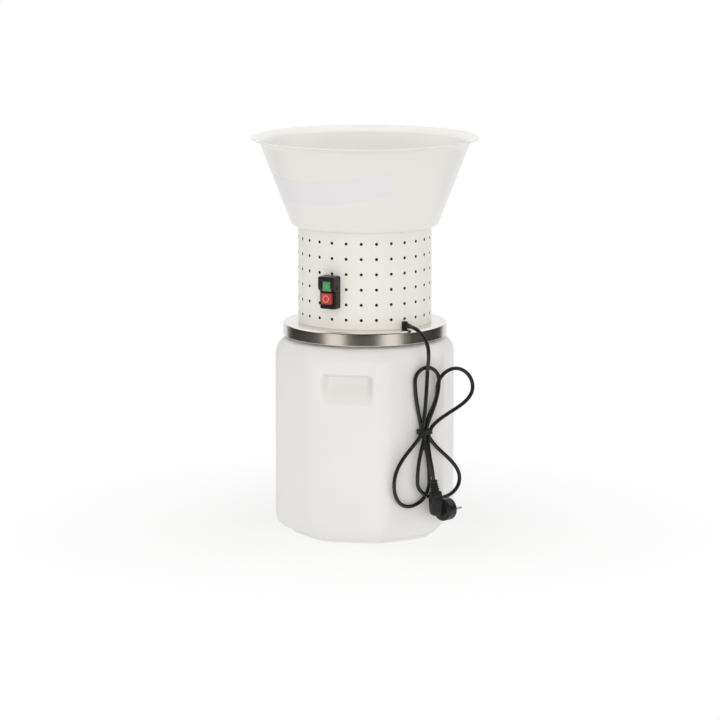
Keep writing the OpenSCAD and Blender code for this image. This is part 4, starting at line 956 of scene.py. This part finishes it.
button_piece("start_button", START_HALF, START_UP, 11, 19, 0.9, "start_green")
button_piece("stop_button", STOP_HALF, STOP_UP, 8, 22, 1.4, "stop_red")
bar = soft_block((-1.1, START_UP - 4.8), (1.1, START_UP + 4.8), 0.5, 17.9, 18.75, 0.2)
start_mark = make_piece("start_mark", [shell(stand_on_drum(bar, True))], "start_button")
hoop_r, hoop_out = arc((HOOP_R, HOOP_OUT), HOOP_T, 0, 360, 17).T
a = np.radians(360 / HOOP_STEPS * np.arange(HOOP_STEPS))[:, None]
hoop = with_height(np.stack([hoop_r * np.cos(a), STOP_UP + hoop_r * np.sin(a)], axis=-1), hoop_out)
hoop_patch = patch(stand_on_drum(hoop, True), close_rows=True)
stop_mark = make_piece("stop_mark", [hoop_patch], "stop_button")
finish("mark_green", (0.10, 0.42, 0.19), (0.13, 0.47, 0.22), (0.35, 0.45), 60, 2000, depth=1e-5)
finish("mark_red", (0.74, 0.24, 0.21), (0.80, 0.29, 0.25), (0.35, 0.45), 60, 2000, depth=1e-5)
dress(start_mark, "mark_green")
dress(stop_mark, "mark_red")

# %% [markdown]
# ## Gland, tie and plug
# The lead leaves the drum through a moulded block with a short ribbed sleeve. Ribs let a sleeve bend without
# kinking. The sleeve is a turned profile laid along the lead's own direction.

# %% Gland
GLAND_Z, SLEEVE_BACK = LID_TOP + 6.6, -3


def ribbed(tip_r, root_r, length, ribs, groove, deep):
    """Profile of a tapered sleeve from root to tip: a straight taper less a smooth dip at each groove."""
    h = np.linspace(0, length - 0.6, 60)
    groove_at = length * (np.arange(ribs) + 1) / (ribs + 1)
    near = np.abs(h[:, None] - groove_at[None]).min(axis=1)
    r = root_r + (tip_r - root_r) * h / length - deep * ease(1.6 - 1.6 * near / groove)
    return np.column_stack([r, h])


gland_dir = np.append(around_axis(GLAND_TURN), 0)
sleeve = np.concatenate([[(0, SLEEVE_BACK), (4.5, SLEEVE_BACK)], ribbed(3.9, 4.7, SLEEVE_LEN, 3, 1.0, 0.55),
                         [(3.6, SLEEVE_LEN), (0, SLEEVE_LEN)]])
neck_in = [(0, -7.2), (4, -7.2), (4, -3.4), (5.6, -3.4), (5.6, -1.4), (4, -1.4), (4, 3), (0, 3)]
gland_block = soft_block((-4, -6.25), (4, 6.25), 1.1, -1, GLAND_OUT, 1.1)
gland_patches = [shell(stand_on_drum(gland_block, turn=GLAND_TURN, height=GLAND_Z)),
                 turned_at(sleeve, 28, on_face(sleeve_root), on_face(lead_dir)),
                 turned_at(neck_in, 28, gland_dir * DRUM_R + UP * GLAND_Z, gland_dir)]
gland = make_piece("lead_gland", gland_patches, sharp=45)
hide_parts("cord_gland")
dress(gland, "case_black")

# %% [markdown]
# The hank is held by a coated wire tie: two turns round the waist, side by side, and two short ends that
# stand away to the left. The turns are one flat ring whose section has two humps. A loose tail hangs down in
# front.

# %% Wire tie
TIE_MID, TIE_HALF, TIE_ROUND, WIRE_R = vec(18.55, 153.9), vec(11.7, 6.9), 3.25, 1.95
HUMP_FOOT, HUMP_RISE, TIE_GAP = 0.7, 0.6, 0.08
TAIL_ROUND, TAIL_CUT = 0.14, 0.95
hump_z = np.linspace(2 * WIRE_R, -2 * WIRE_R, 21)
hump_out = HUMP_FOOT + HUMP_RISE * np.sqrt(np.clip(1 - ((np.abs(hump_z) - WIRE_R) / WIRE_R) ** 2, 0, 1))
tie_section = [*((TIE_GAP, z) for z in (-3.6, 0.0, 3.6)), *zip(hump_out, hump_z)]
tie_low, tie_high = TIE_MID - TIE_HALF, TIE_MID + TIE_HALF
tie_rows = [with_height(soft_ring(tie_low - o, tie_high + o, TIE_ROUND + o, 9), TIE_Z + z)
            for o, z in tie_section]
tie_patches = [patch(on_face(np.stack(tie_rows)), close_rows=True, close_columns=True)]
span = np.linspace(0, 1, 12)[:, None]
tail_r = np.sqrt(1 - np.clip((span[:, 0] - 1 + TAIL_ROUND) / TAIL_ROUND, 0, TAIL_CUT) ** 2)
tails = [(vec(8.0, 158.6, 193.0), vec(2.6, 160.2, 193.4), 1.7),
         (vec(8.0, 158.6, 189.0), vec(3.0, 160.4, 188.4), 1.6),
         (vec(12.95, 162.0, 191.0), vec(12.4, 162.4, 160.0), 0.9)]
tie_patches += [shell(on_face(tube(a + span * (b - a), r * tail_r, 14))) for a, b, r in tails]
tie = make_piece("wire_tie", tie_patches, sharp=45)
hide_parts("cord_tie")
dress(tie, "case_black")

# %% [markdown]
# The plug is moulded in one: a thick round face that carries the pins, a body behind it that narrows upwards,
# and a ribbed boot round the lead. The face and the boot are turned, and the body is a stack of rounded
# rectangles whose sides follow two drawn lines.

# %% Plug
PLUG_MID, PLUG_R, PLUG_HALF, PLUG_TURN = vec(48, 172.5, 59), 19.0, 10.0, math.radians(13)
PLUG_BACK_ROUND, PLUG_FACE_ROUND, BODY_OUT, BOOT_LEN = 3.5, 2.2, 172, 29
plug_axis = vec(math.cos(PLUG_TURN), -math.sin(PLUG_TURN), 0)
face_profile = np.concatenate([
    [(0, -PLUG_HALF), (12, -PLUG_HALF)],
    arc((PLUG_R - PLUG_BACK_ROUND, PLUG_BACK_ROUND - PLUG_HALF), PLUG_BACK_ROUND, -90, 0, 8),
    arc((PLUG_R - PLUG_FACE_ROUND, PLUG_HALF - PLUG_FACE_ROUND), PLUG_FACE_ROUND, 0, 90, 8),
    [(15.2, PLUG_HALF), (14.6, PLUG_HALF - 0.5), (0, PLUG_HALF - 0.5)]])
body_z = [91, 88, 84, 78, 70, 62, 56, 52.5, 50.6, 50.0]
body_low = [18.6, 18.4, 18.2, 18.3, 18.9, 19.6, 20.4, 21.6, 24.0, 28.0]
body_high = [39.5, 39.8, 39.8, 41.2, 42.4, 43.0, 43.0, 43.0, 42.0, 39.0]
body_thick = [6.2, 6.8, 7.6, 8.5, 9.0, 9.0, 8.8, 8.2, 7.0, 5.0]
body_rings = [soft_ring((low, BODY_OUT - d), (high, BODY_OUT + d), min(d - 0.2, 5.5))
              for low, high, d in zip(body_low, body_high, body_thick)]
boot = np.concatenate([[(0, 0), (5.0, 0)], ribbed(9.2, 6.0, 26, 5, 1.5, 1.5) + [0, 0.6],
                       [(9.2, BOOT_LEN), (0, BOOT_LEN)]])
plug_patches = [turned_at(face_profile, 56, on_face(PLUG_MID), on_face(plug_axis)),
                shell(on_face(ring_stack(body_rings, body_z))),
                turned_at(boot, 32, on_face(plug_top), on_face(plug_dir), up=(0.0, 1.0, 0.0))]
plug = make_piece("plug_shell", plug_patches, sharp=45)
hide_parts("plug_body")
dress(plug, "case_black")
